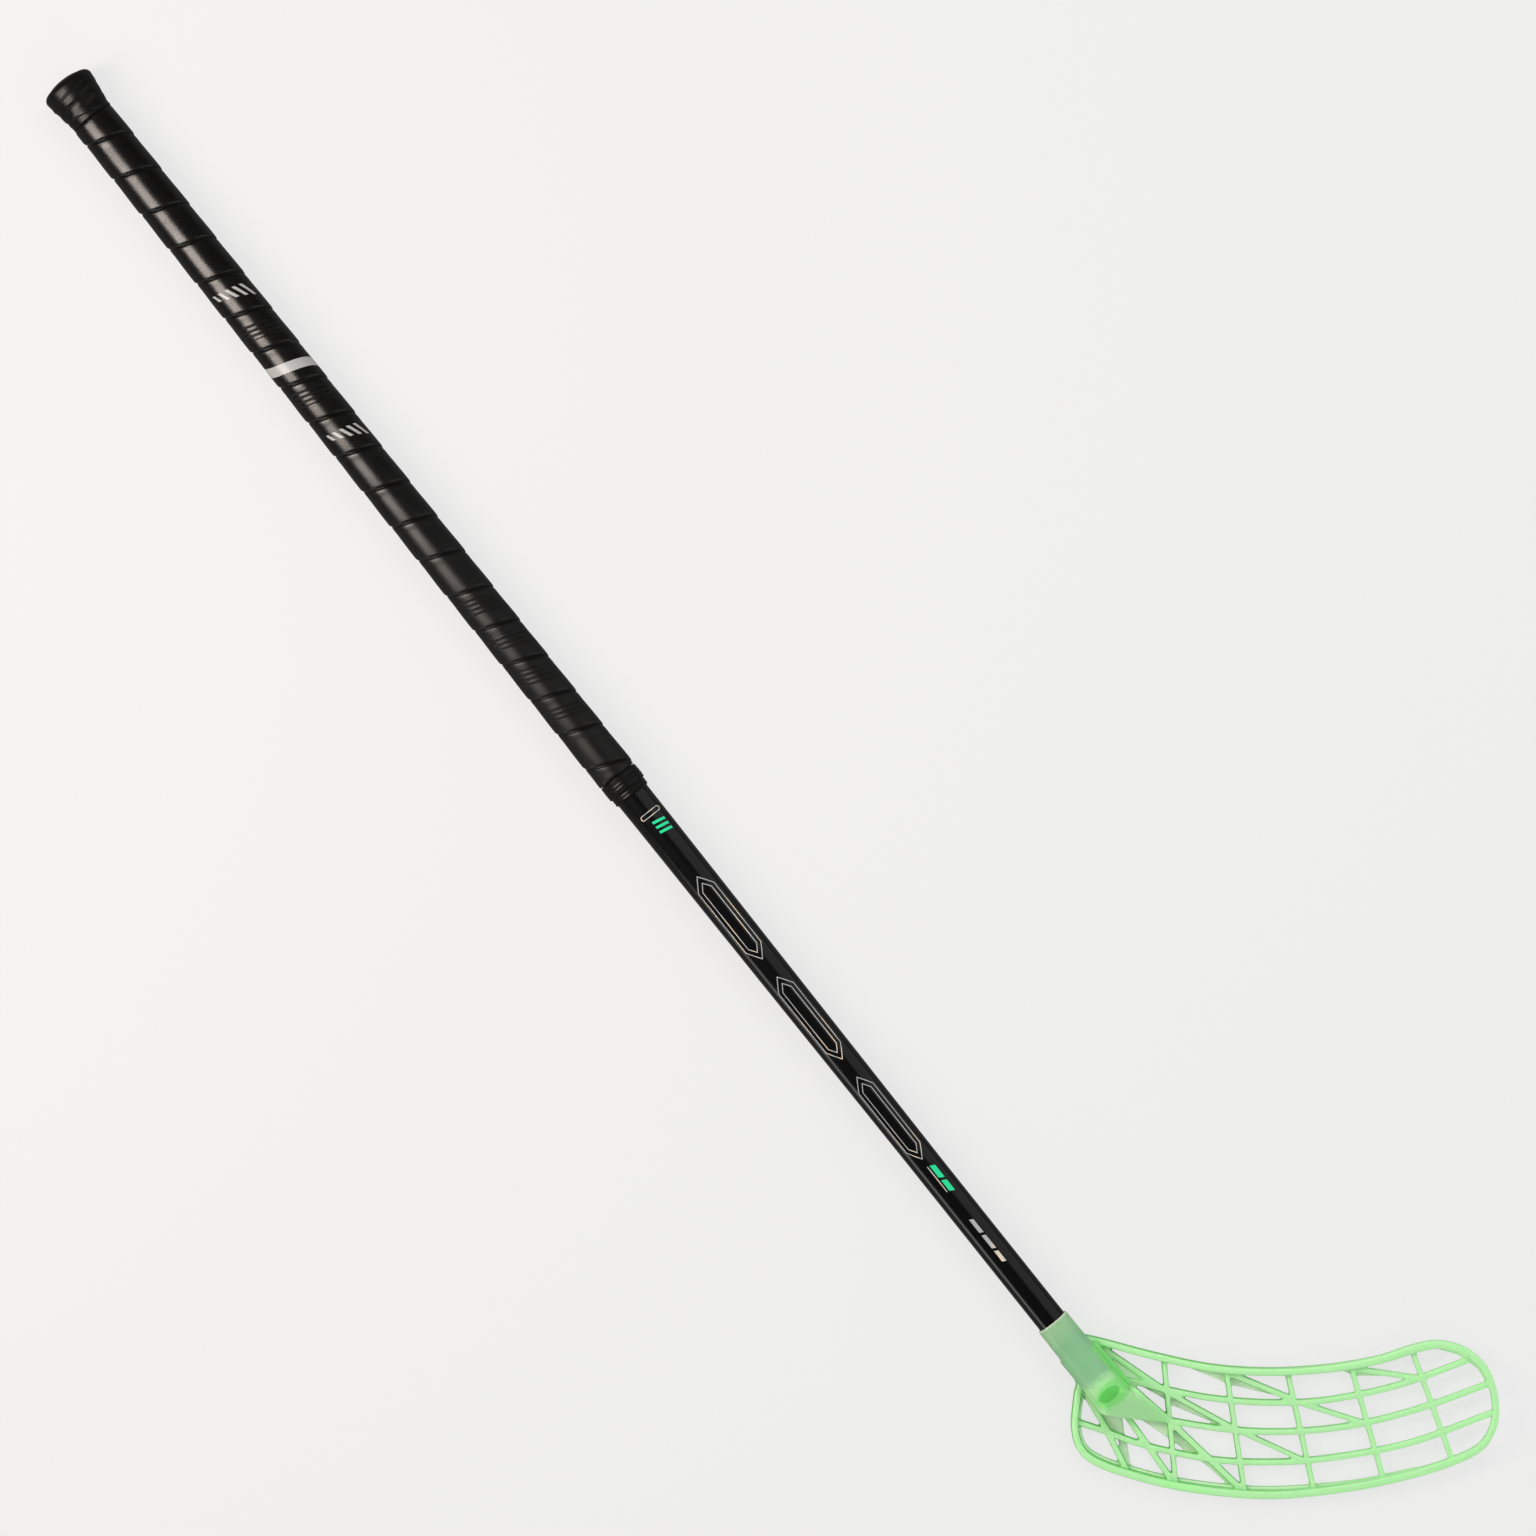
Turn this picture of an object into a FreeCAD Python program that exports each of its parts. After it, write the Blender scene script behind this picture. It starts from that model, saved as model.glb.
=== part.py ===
"""A floorball stick, lying with the face of its blade up.

The shaft's axis is X, from the crown of the end cap at the origin towards the blade, Z is up and the
toe of the blade points to +Y. Lengths are in millimetres.
"""
import FreeCAD, Part
import math
import os
import re
import Sketcher

Vector = FreeCAD.Vector

# Driving sizes, in millimetres and degrees
sizes = {
    "tube_length": 994.0,
    "tube_top_diameter": 23.4,
    "tube_grip_diameter": 21.5,
    "tube_foot_diameter": 18.3,
    "tube_foot_length": 160.0,
    "tube_wall": 1.9,
    "cap_diameter": 33.5,
    "cap_crown": 1.8,
    "cap_flat": 10.0,
    "cap_round": 3.6,
    "cap_head": 6.0,
    "cap_shoulder": 10.0,
    "cap_shoulder_diameter": 32.8,
    "cap_waist": 20.0,
    "cap_waist_diameter": 29.4,
    "cap_skirt": 23.0,
    "cap_hem_diameter": 27.3,
    "cap_skirt_fit": 0.1,
    "spigot_length": 30.0,
    "spigot_fit": 0.05,
    "spigot_wall": 2.4,
    "grip_length": 506.0,
    "grip_end_gap": 0.3,
    "glue_film": 0.05,
    "underlay_thickness": 0.5,
    "band_pitch": 26.75,
    "band_turn": 306.0,
    "band_seam": 0.7,
    "band_lip": 1.6,
    "band_tuck": 1.0,
    "band_bevel": 0.6,
    "collar_length": 15.0,
    "collar_wall": 1.9,
    "collar_foot_wall": 0.8,
    "collar_fit": 0.1,
    "collar_rib": 0.35,
    "collar_rib_flank": 0.95,
    "seat_length": 41.0,
    "bore_depth": 54.0,
    "seat_fit": 0.05,
    "mouth_chamfer": 0.5,
    "socket_end_wall": 3.0,
    "socket_mouth_wall": 1.25,
    "socket_wall": 1.95,
    "socket_swell": 21.0,
    "lie_angle": 51.43,
    "blade_length": 258.0,
    "blade_height": 96.0,
    "blade_setback": 16.75,
    "rim_depth": 10.5,
    "rim_toe_depth": 7.5,
    "rib_depth": 7.5,
    "rib_toe_depth": 5.5,
    "web_depth": 2.2,
    "flange_depth": 4.0,
    "flange_width": 1.8,
    "toe_hook": 10.0,
    "hook_start": 120.0,
    "upright_width": 3.0,
    "course_width": 3.5,
    "brace_width": 3.4,
    "shoulder_depth": 14.5,
    "tongue_wall": 2.2,
    "tongue_start": 51.0,
    "tongue_end": 90.0,
}

doc = FreeCAD.newDocument("floorball_stick")
sheet = doc.addObject("Spreadsheet::Sheet", "sizes")
for row, (name, value) in enumerate(sizes.items(), start=1):
    sheet.set(f"A{row}", name)
    sheet.set(f"B{row}", str(value))
    sheet.setAlias(f"B{row}", name)
doc.recompute()


def bound(expression):
    """The expression with each size named as a cell of the sheet."""
    def cell(match):
        word = match.group()
        return "sizes." + word if word in sizes else word
    return re.sub(r"[a-z]\w*", cell, expression)


def size(expression):
    """The number that an expression in the sheet's names comes to."""
    value = sheet.evalExpression(bound(expression))
    return float(getattr(value, "Value", value))


# Places along the shaft, and radii there, as expressions in the sheet's names
tube_end = "(cap_head + tube_length)"
foot_start = f"({tube_end} - tube_foot_length)"
grip_start = "(cap_head + cap_skirt + grip_end_gap)"
grip_end = f"({grip_start} + grip_length)"
collar_start = f"({grip_end} + grip_end_gap)"
collar_end = f"({collar_start} + collar_length)"
spigot_end = "(cap_head + spigot_length)"
mouth = f"({tube_end} - seat_length)"
band_start = f"({grip_start} - band_pitch)"
band_width = "(band_pitch - band_seam)"
grip_taper = f"((tube_top_diameter - tube_grip_diameter) / 2 / ({collar_end} - cap_head))"


def tube_radius(place):
    """The tube's outer radius at a place between its top and the foot of the collar."""
    return f"(tube_top_diameter / 2 - ({place} - cap_head) * {grip_taper})"


def underlay_radius(place):
    return f"({tube_radius(place)} + glue_film)"


def band_radius(place):
    return f"({underlay_radius(place)} + underlay_thickness + glue_film)"


def new_body(label):
    body = doc.addObject("PartDesign::Body", label)
    body.Label = label
    return body


def new_sketch(body, name):
    plane = [feature for feature in body.Origin.OriginFeatures if feature.Role == "XY_Plane"][0]
    sketch = body.newObject("Sketcher::SketchObject", name)
    sketch.AttachmentSupport = [(plane, "")]
    sketch.MapMode = "FlatFace"
    return sketch


def pin_corner(sketch, edge, along, across):
    """Holds the start of an edge at its place along the shaft and its distance from the axis."""
    for kind, expression in (("DistanceX", along), ("DistanceY", across)):
        constraint = Sketcher.Constraint(kind, -1, 1, edge, 1, size(expression))
        number = sketch.addConstraint(constraint)
        sketch.setExpression(f"Constraints[{number}]", bound(expression))


def outline(sketch, corners):
    """A closed outline of straight edges with its corners, (along, across), bound to the sheet."""
    first = sketch.GeometryCount
    count = len(corners)
    places = [Vector(size(along), size(across), 0) for along, across in corners]
    for number in range(count):
        sketch.addGeometry(Part.LineSegment(places[number], places[(number + 1) % count]))
    for number in range(count):
        follower = first + (number + 1) % count
        sketch.addConstraint(Sketcher.Constraint("Coincident", first + number, 2, follower, 1))
    for number, (along, across) in enumerate(corners):
        pin_corner(sketch, first + number, along, across)


def turning(body, sketch):
    revolution = body.newObject("PartDesign::Revolution", body.Label + "_turning")
    revolution.Profile = sketch
    revolution.ReferenceAxis = (sketch, ["H_Axis"])
    return revolution


def turned_piece(label, corners):
    """A piece turned about the shaft's axis from one outline."""
    body = new_body(label)
    sketch = new_sketch(body, label + "_outline")
    outline(sketch, corners)
    turning(body, sketch)
    return body


def make_shaft_tube():
    """A tapered tube: a slow cone under the grip, a quicker one below it, then a straight foot."""
    stations = [
        ("cap_head", "tube_top_diameter / 2"),
        (collar_end, "tube_grip_diameter / 2"),
        (foot_start, "tube_foot_diameter / 2"),
        (tube_end, "tube_foot_diameter / 2"),
    ]
    bore = [(along, f"{radius} - tube_wall") for along, radius in reversed(stations)]
    return turned_piece("shaft_tube", stations + bore)


def make_end_cap():
    """A crowned knob with a small flat on its crown, a skirt over the tube's top and a hollow spigot."""
    bore = f"({tube_radius(spigot_end)} - tube_wall - spigot_fit)"
    skirt = "(tube_top_diameter / 2 + cap_skirt_fit)"
    hem = "(cap_head + cap_skirt)"
    body = new_body("end_cap")
    sketch = new_sketch(body, "end_cap_outline")
    corners = [
        ("cap_crown", "cap_diameter / 2"),
        ("cap_shoulder", "cap_shoulder_diameter / 2"),
        ("cap_waist", "cap_waist_diameter / 2"),
        (hem, "cap_hem_diameter / 2"),
        (hem, skirt),
        ("cap_head", skirt),
        ("cap_head", bore),
        (spigot_end, bore),
        (spigot_end, f"{bore} - spigot_wall"),
        ("cap_head", f"{bore} - spigot_wall"),
    ]
    places = [Vector(size(along), size(across), 0) for along, across in corners]
    flat_edge = Vector(0, size("cap_flat / 2"), 0)
    places += [Vector(places[-1].x, 0, 0), Vector(), flat_edge]
    edges = len(places) - 1
    for number in range(edges):
        sketch.addGeometry(Part.LineSegment(places[number], places[number + 1]))
    for number in range(edges - 1):
        sketch.addConstraint(Sketcher.Constraint("Coincident", number, 2, number + 1, 1))
    for number, (along, across) in enumerate(corners):
        pin_corner(sketch, number, along, across)
    end_wall, axis_line, flat_line = edges - 3, edges - 2, edges - 1
    sketch.addConstraint(Sketcher.Constraint("Vertical", end_wall))
    sketch.addConstraint(Sketcher.Constraint("PointOnObject", axis_line, 1, -1))
    sketch.addConstraint(Sketcher.Constraint("Coincident", flat_line, 1, -1, 1))
    sketch.addConstraint(Sketcher.Constraint("Vertical", flat_line))
    flat_size = Sketcher.Constraint("DistanceY", flat_line, 1, flat_line, 2, flat_edge.y)
    number = sketch.addConstraint(flat_size)
    sketch.setExpression(f"Constraints[{number}]", bound("cap_flat / 2"))

    # The crown is part of a ball whose centre lies on the axis
    rise = size("cap_crown")
    rim = size("cap_diameter / 2")
    centre = (rise ** 2 + rim ** 2 - flat_edge.y ** 2) / (2 * rise)
    ball = math.hypot(centre, flat_edge.y)
    circle = Part.Circle(Vector(centre, 0, 0), Vector(0, 0, 1), ball)
    rim_turn = math.pi - math.asin(rim / ball)
    flat_turn = math.pi - math.asin(flat_edge.y / ball)
    crown = sketch.addGeometry(Part.ArcOfCircle(circle, rim_turn, flat_turn))
    sketch.addConstraint(Sketcher.Constraint("PointOnObject", crown, 3, -1))
    sketch.addConstraint(Sketcher.Constraint("Coincident", crown, 1, 0, 1))
    sketch.addConstraint(Sketcher.Constraint("Coincident", crown, 2, flat_line, 2))

    revolution = turning(body, sketch)
    doc.recompute()
    near_enough = 0.01
    for number, edge in enumerate(revolution.Shape.Edges, start=1):
        at_rim = abs(edge.CenterOfMass.x - rise) < near_enough
        if at_rim and abs(edge.Length - 2 * math.pi * rim) < near_enough:
            widest = f"Edge{number}"
    rounding = body.newObject("PartDesign::Fillet", "end_cap_rim")
    rounding.Base = (revolution, [widest])
    rounding.setExpression("Radius", bound("cap_round"))
    return body


def make_grip_underlay():
    """The thin cushion sleeve under the band."""
    inner = [(place, underlay_radius(place)) for place in (grip_end, grip_start)]
    outer = [(along, f"{radius} + underlay_thickness") for along, radius in reversed(inner)]
    return turned_piece("grip_underlay", outer + inner)


def make_grip_band():
    """One band wound left-handed down the grip, its lower edge proud of the next turn's upper edge."""
    pitch = size("band_pitch")
    lip = size("band_lip")
    tuck = size("band_tuck")
    bevel = size("band_bevel")
    top = size(band_start)
    top_radius = size(band_radius(band_start))
    low = size(f"{band_start} + {band_width}")
    low_radius = size(band_radius(f"({band_start} + {band_width})"))
    corners = [
        Vector(top, top_radius, 0),
        Vector(low, low_radius, 0),
        Vector(low, low_radius + lip - bevel, 0),
        Vector(low - bevel, low_radius + lip, 0),
        Vector(top + bevel, top_radius + tuck, 0),
        Vector(top, top_radius + tuck - bevel, 0),
    ]
    lean = math.degrees(math.atan(size(grip_taper)))
    spiral = Part.makeLongHelix(pitch, size("grip_length + band_pitch"), top_radius, -lean, True)
    upright_to_shaft = FreeCAD.Rotation(Vector(0, 1, 0), Vector(0, 0, 1), Vector(1, 0, 0), "XYZ")
    spiral.Placement = FreeCAD.Placement(Vector(top, 0, 0), upright_to_shaft)
    sweep = Part.BRepOffsetAPI.MakePipeShell(Part.Wire(spiral.Edges))
    sweep.setFrenetMode(True)
    sweep.add(Part.makePolygon(corners + corners[:1]), False, False)
    sweep.build()
    sweep.makeSolid()
    winding = sweep.shape()
    print("grip band, least gap to itself:", round(least_gap(winding), 2), "mm")
    winding.rotate(Vector(), Vector(1, 0, 0), size("band_turn"))

    # The winding runs a turn past each end of the grip and is cut off square there
    room = 2 * pitch
    ends = [Part.makeCylinder(size("cap_diameter"), room, Vector(place, 0, 0), Vector(1, 0, 0))
            for place in (size(grip_start) - room, size(grip_end))]
    band = doc.addObject("Part::Feature", "grip_band")
    band.Label = "grip_band"
    band.Shape = winding.cut(ends).Solids[0]
    return band


def least_gap(band):
    """The shortest way from the band's lower edges to its upper edges, measured on points."""
    points_a_turn = 48
    radius = size(band_radius(grip_end))
    middle = size(f"{band_start} + {band_width} / 2")
    pitch = size("band_pitch")
    near = {}
    lower = []
    for edge in band.Edges:
        if edge.Length < math.pi * radius:
            continue
        for point in edge.discretize(Number=points_a_turn):
            turned = math.atan2(-point.z, point.y) / (2 * math.pi)
            phase = ((point.x - middle) / pitch - turned) % 1
            if phase > 0.5:
                near.setdefault(round(point.x), []).append(point)
            else:
                lower.append(point)
    gaps = []
    for point in lower:
        for place in range(round(point.x) - 1, round(point.x) + 2):
            gaps += [point.distanceToPoint(other) for other in near.get(place, [])]
    return min(gaps)


def make_grip_collar():
    """A stepped rubber ring that closes the foot of the grip, with fine ribs round it."""
    ribs = 5
    rib_pitch = f"(collar_length / {ribs})"
    bore = f"({tube_radius(collar_start)} + collar_fit)"
    corners = [(collar_start, bore)]
    for number in range(ribs):
        near = f"({collar_start} + {number} * {rib_pitch})"
        wall = f"(collar_wall + (collar_foot_wall - collar_wall) * {number} / {ribs - 1})"
        crest = f"({bore} + {wall})"
        corners += [
            (near, f"{crest} - collar_rib"),
            (f"{near} + collar_rib_flank", crest),
            (f"{near} + {rib_pitch} - collar_rib_flank", crest),
            (f"{near} + {rib_pitch}", f"{crest} - collar_rib"),
        ]
    corners.append((collar_end, bore))
    return turned_piece("grip_collar", corners)


# The blade is drawn in its own frame at full size: u along the floor line towards the toe, v up from
# it, with the middle of the socket's mouth at (0, 0). The drawing stretches with the blade's size.
drawn_length = 258.0
drawn_height = 96.0

# Outer edge of the rim: u, v and the width of the rim there. It runs from the socket over the top to the
# front of the toe, along the sole, which has a flange inside it, and up the heel.
top_rim = [
    (8, -4.4, 4.4), (30, -9.3, 4.3), (60, -17.2, 4.4), (95, -24.5, 4.6), (130, -26.8, 4.7),
    (165, -24.7, 4.8), (195, -19.4, 5.0), (215, -12.8, 5.2), (231, -9.6, 5.2), (247.3, -13.4, 5.0),
    (259.5, -23, 4.6), (265.6, -36, 4.1),
]
sole_rim = [
    (267.8, -51, 3.9), (265.8, -63.3, 4.0), (259.6, -74, 4.4), (246.8, -82.3, 4.8), (220, -92, 5.0),
    (180, -101, 5.0), (130, -106, 5.2), (80, -101.6, 5.2), (45, -93.4, 5.2), (25, -86, 5.0),
    (14.5, -77.5, 4.6), (10.3, -64, 4.2), (11, -50, 4.2),
]
heel_rim = [(13, -38, 4.4), (18, -30, 4.4)]
rim_edge = top_rim + sole_rim + heel_rim
flanged = slice(len(top_rim), len(top_rim) + len(sole_rim))

uprights = [
    [(66.3, -21), (73.5, -97)],
    [(104.2, -29), (114.9, -100)],
    [(141, -29), (157.2, -101)],
    [(179.8, -27), (199.3, -95)],
    [(215.8, -15), (239.8, -81)],
]

courses = [
    [(38, -32.4), (67, -39.8), (97, -45.5), (130, -48), (165, -46.3), (208, -37), (252, -20.5)],
    [(30, -52.5), (50, -55.6), (72, -59.2), (100, -63.6), (130, -65.6), (160, -64.3), (190, -59.6),
     (225, -49.6), (262, -35.6)],
    [(12.5, -59.2), (30, -65), (50, -72.3), (72, -78), (97, -82.5), (125, -84), (160, -82.2), (213, -72.4),
     (265, -52.8)],
]

# Slanting braces, each with what it adds to the brace width
braces = [
    ([(26, -12.6), (67, -40.8)], 0.0),
    ([(70, -42.4), (107.7, -63.1)], -0.4),
    ([(112, -65.1), (151.8, -83.3)], -0.6),
    ([(97, -26.5), (145, -46.3)], 0.0),
    ([(150, -48.5), (187, -60.1)], -0.4),
    ([(178, -27), (222, -33)], -0.3),
    ([(69.7, -58.9), (112.1, -99.3)], 0.3),
    ([(42.5, -54), (71, -94.5)], 0.2),
    ([(13.8, -34), (32.3, -65)], 0.0),
    ([(31.4, -64), (44.4, -90)], 0.0),
]

# Thin webs at the back that fill the sharp corners between braces, courses and uprights
webs = [
    [(24, -11), (33, -15.5), (57, -35), (44, -33)],
    [(49, -36), (68, -40.5), (68, -46.7)],
    [(69, -42), (101, -59.5), (98, -61), (69, -48.8)],
    [(72, -23), (105, -29.5), (105, -36.8)],
    [(104.5, -31), (139, -45), (104.5, -36.9)],
    [(47, -54.7), (70.5, -59.5), (70.5, -70.6)],
    [(71, -62), (88, -79), (80.5, -77.8), (71, -70.8)],
    [(87.5, -82.3), (95, -83.5), (110, -99), (104.5, -97)],
    [(28, -52), (41, -54), (43, -70), (34, -66)],
    [(38.5, -69.5), (44, -71.5), (46.9, -88.5), (43, -86)],
    [(170, -27), (208, -31.6), (182, -31.9)],
]

# The block that joins the socket's side to the top of the rim
shoulder = [(19.5, -10.5), (25, -10.8), (46, -34.8), (41.5, -38.5)]

heel_lip = [(1.5, -21), (13, -37.5), (20, -34), (9, -18)]
tongue = [(20, -30), (36, -27), (43.5, -35.5), (48.5, -37), (68, -55), (71, -60), (46, -56), (28, -53.5),
          (20.5, -45)]


def drawn(u, v):
    """A point of the drawing at the blade's own length and height."""
    return Vector(u * size("blade_length") / drawn_length, v * size("blade_height") / drawn_height, 0)


def smooth_line(points):
    """A straight edge between two points, or an arc through each three of an odd number of points."""
    if len(points) == 2:
        return [Part.LineSegment(points[0], points[1]).toShape()]
    return [Part.Arc(*points[first:first + 3]).toShape() for first in range(0, len(points) - 2, 2)]


def ribbon(left, right):
    """The flat face between two lines of points."""
    ends = smooth_line([left[-1], right[-1]]) + smooth_line([right[0], left[0]])
    return Part.Face(Part.Wire(Part.__sortEdges__(smooth_line(left) + smooth_line(right) + ends)))


def sideways(points):
    """At each point of a line, the direction to its right in the flat drawing."""
    directions = []
    for before, after in zip(points[:1] + points[:-1], points[1:] + points[-1:]):
        along = (after - before).normalize()
        directions.append(Vector(along.y, -along.x, 0))
    return directions


def strip(points, width):
    """A rib of even width along a line of points."""
    sides = sideways(points)
    left = [point - side * (width / 2) for point, side in zip(points, sides)]
    right = [point + side * (width / 2) for point, side in zip(points, sides)]
    return ribbon(left, right)


def flat(corners):
    points = [drawn(u, v) for u, v in corners]
    return Part.Face(Part.makePolygon(points + points[:1]))


def joined(faces):
    return faces[0].fuse(faces[1:]).removeSplitter()


def slab(depth, toe_depth):
    """The room between the blade's back and a front this far above it: flat, then hooked up at the toe."""
    back = -size("blade_setback")
    start = size("hook_start")
    tip = max(drawn(u, v).x for u, v, width in rim_edge)
    reach = size("blade_length")

    def hooked(level, rise):
        run = tip - start
        radius = (run ** 2 + rise ** 2) / (2 * rise)
        beyond_tip = tip + size("rim_depth")
        places = [start, (start + tip) / 2, beyond_tip]
        heights = [level + radius - math.sqrt(radius ** 2 - (u - start) ** 2) for u in places]
        bend = [Vector(u, -reach, height) for u, height in zip(places, heights)]
        straight = Part.LineSegment(Vector(-reach, -reach, level), bend[0]).toShape()
        return [straight, Part.Arc(*bend).toShape()], bend[2]

    low, low_tip = hooked(back, size("toe_hook"))
    high, high_tip = hooked(back + depth, size("toe_hook") + toe_depth - depth)
    closing = [
        Part.LineSegment(low_tip, high_tip).toShape(),
        Part.LineSegment(Vector(-reach, -reach, back), Vector(-reach, -reach, back + depth)).toShape(),
    ]
    side = Part.Face(Part.Wire(Part.__sortEdges__(low + high + closing)))
    return side.extrude(Vector(0, 2 * reach, 0))


def raised(face, depth, toe_depth):
    """A flat face of the drawing as a solid between the back and a front."""
    below = Vector(0, 0, -2 * size("blade_setback"))
    column = face.translated(below).extrude(-2 * below)
    return column.common(slab(depth, toe_depth))


def along_shaft(shape):
    """Turns a shape made along X onto the shaft's axis in the blade's drawing."""
    return shape.rotated(Vector(), Vector(0, 0, 1), -size("lie_angle"))


def make_blade():
    """One moulding: the socket, the rim, the lattice of ribs and the tongue that carries the socket."""
    rim_points = [drawn(u, v) for u, v, width in rim_edge]
    rim_widths = [width for u, v, width in rim_edge]
    inward = sideways(rim_points)
    inner = [point + side * width for point, side, width in zip(rim_points, inward, rim_widths)]
    rim = raised(ribbon(rim_points, inner), size("rim_depth"), size("rim_toe_depth"))

    core = [(point + other) / 2 for point, other in zip(rim_points, inner)]
    ledge = [point + side * size("flange_width") for point, side in zip(inner, inward)]
    flange = raised(ribbon(core[flanged], ledge[flanged]), size("flange_depth"), size("flange_depth"))

    ribs = [strip([drawn(*end) for end in line], size("upright_width")) for line in uprights]
    ribs += [strip([drawn(*point) for point in line], size("course_width")) for line in courses]
    ribs += [strip([drawn(*end) for end in line], size("brace_width") + extra) for line, extra in braces]
    lattice = raised(joined(ribs), size("rib_depth"), size("rib_toe_depth"))

    corners = raised(joined([flat(web) for web in webs]), size("web_depth"), size("web_depth"))
    lip = raised(flat(heel_lip), size("rim_depth"), size("rim_toe_depth"))
    side = raised(flat(shoulder), size("shoulder_depth"), size("shoulder_depth"))

    bore_radius = size("tube_foot_diameter / 2 + seat_fit")
    mouth_radius = size("tube_foot_diameter / 2 + seat_fit + socket_mouth_wall")
    socket_radius = size("tube_foot_diameter / 2 + seat_fit + socket_wall")
    socket_end = size("bore_depth + socket_end_wall")
    profile = Part.makePolygon([
        Vector(0, 0, 0), Vector(0, mouth_radius, 0), Vector(size("socket_swell"), socket_radius, 0),
        Vector(socket_end, socket_radius, 0), Vector(socket_end, 0, 0), Vector(0, 0, 0)])
    socket = along_shaft(Part.Face(profile).revolve(Vector(), Vector(1, 0, 0), 360))
    chamfer = size("mouth_chamfer")
    bore = Part.makeCylinder(bore_radius, size("bore_depth"), Vector(), Vector(1, 0, 0))
    bevel = Part.makeCone(bore_radius + chamfer, bore_radius, chamfer, Vector(), Vector(1, 0, 0))
    bore = along_shaft(bore.fuse(bevel))

    # The tongue slopes from the socket's front down to the ribs, and is hollow from behind
    back = -size("blade_setback")
    rib_front = back + size("rib_depth")
    wall = size("tongue_wall")
    reach = size("blade_length")

    def above_slope(lowered):
        start = Vector(size("tongue_start"), -reach, socket_radius - lowered)
        end = Vector(size("tongue_end"), -reach, rib_front - lowered)
        top = Vector(0, 0, reach)
        side = Part.makePolygon([start, end, end + Vector(reach, 0, 0), end + Vector(reach, 0, reach),
                                 start + top, start])
        return along_shaft(Part.Face(side).extrude(Vector(0, 2 * reach, 0)))

    tongue_face = flat(tongue)
    rise = Vector(0, 0, size("blade_setback") + socket_radius)
    wedge = tongue_face.translated(Vector(0, 0, back)).extrude(rise)
    hollow = tongue_face.makeOffset2D(-wall).translated(Vector(0, 0, back)).extrude(rise)
    hollow = hollow.cut(above_slope(wall))
    neck = socket.cut(above_slope(0)).fuse(wedge.cut(above_slope(0)).cut(hollow.cut(socket)))

    moulding = rim.fuse([flange, lattice, corners, lip, side, neck]).cut(bore).removeSplitter()
    blade = doc.addObject("Part::Feature", "blade")
    blade.Label = "blade"
    blade.Shape = moulding.Solids[0] if len(moulding.Solids) == 1 else moulding
    seat = Vector(size(mouth), 0, 0)
    blade.Placement = FreeCAD.Placement(seat, FreeCAD.Rotation(Vector(0, 0, 1), size("lie_angle")))
    return blade


pieces = [
    make_shaft_tube(),
    make_end_cap(),
    make_grip_underlay(),
    make_grip_band(),
    make_grip_collar(),
    make_blade(),
]
doc.recompute()

for item in doc.Objects:
    if "Invalid" in item.State or "Error" in item.State:
        raise RuntimeError(f"{item.Label} failed: {item.State}")
for piece in pieces:
    shape = piece.Shape
    if shape.isNull() or not shape.isValid() or len(shape.Solids) != 1:
        raise RuntimeError(f"{piece.Label} is not one valid solid")
    print(piece.Label, "volume", round(shape.Volume), "mm3,", len(shape.Faces), "faces")

os.makedirs("parts", exist_ok=True)
for piece in pieces:
    piece.Shape.exportStep(os.path.join("parts", piece.Label + ".step"))
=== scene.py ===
import functools
import math

import bmesh
import bpy
import numpy as np
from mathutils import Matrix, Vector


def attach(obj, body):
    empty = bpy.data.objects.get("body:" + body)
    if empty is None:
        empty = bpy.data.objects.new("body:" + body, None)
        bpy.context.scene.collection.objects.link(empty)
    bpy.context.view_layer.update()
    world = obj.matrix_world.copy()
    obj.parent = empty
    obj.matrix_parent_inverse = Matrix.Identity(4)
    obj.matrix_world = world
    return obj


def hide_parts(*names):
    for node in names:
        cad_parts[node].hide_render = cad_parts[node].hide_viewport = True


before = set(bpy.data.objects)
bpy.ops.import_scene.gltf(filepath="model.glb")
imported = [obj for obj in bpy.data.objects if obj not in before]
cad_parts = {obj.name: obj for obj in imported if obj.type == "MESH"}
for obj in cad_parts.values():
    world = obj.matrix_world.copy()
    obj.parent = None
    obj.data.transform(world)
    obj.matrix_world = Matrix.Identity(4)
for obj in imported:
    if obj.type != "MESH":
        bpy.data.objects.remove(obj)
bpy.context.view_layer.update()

print("frame loaded:", sorted(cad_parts))

mm = 0.001  # drawings are in millimetres, the scene in metres


# mesh helpers

def shadeSmooth(mesh):
    mesh.polygons.foreach_set("use_smooth", [True] * len(mesh.polygons))


def makePiece(name, verts, faces, body, material):
    mesh = bpy.data.meshes.new(name)
    mesh.from_pydata((np.asarray(verts) * mm).tolist(), [], faces)
    mesh.materials.append(material)
    shadeSmooth(mesh)
    piece = bpy.data.objects.new(name, mesh)
    bpy.context.scene.collection.objects.link(piece)
    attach(piece, body)
    return piece


def tidyMesh(mesh, gap=2e-6):  # merge what coincides, then turn all faces outwards
    work = bmesh.new()
    work.from_mesh(mesh)
    bmesh.ops.remove_doubles(work, verts=work.verts, dist=gap)
    bmesh.ops.dissolve_degenerate(work, edges=work.edges, dist=gap / 4)
    bmesh.ops.recalc_face_normals(work, faces=work.faces)
    work.to_mesh(mesh)
    work.free()
    mesh.update()


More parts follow.
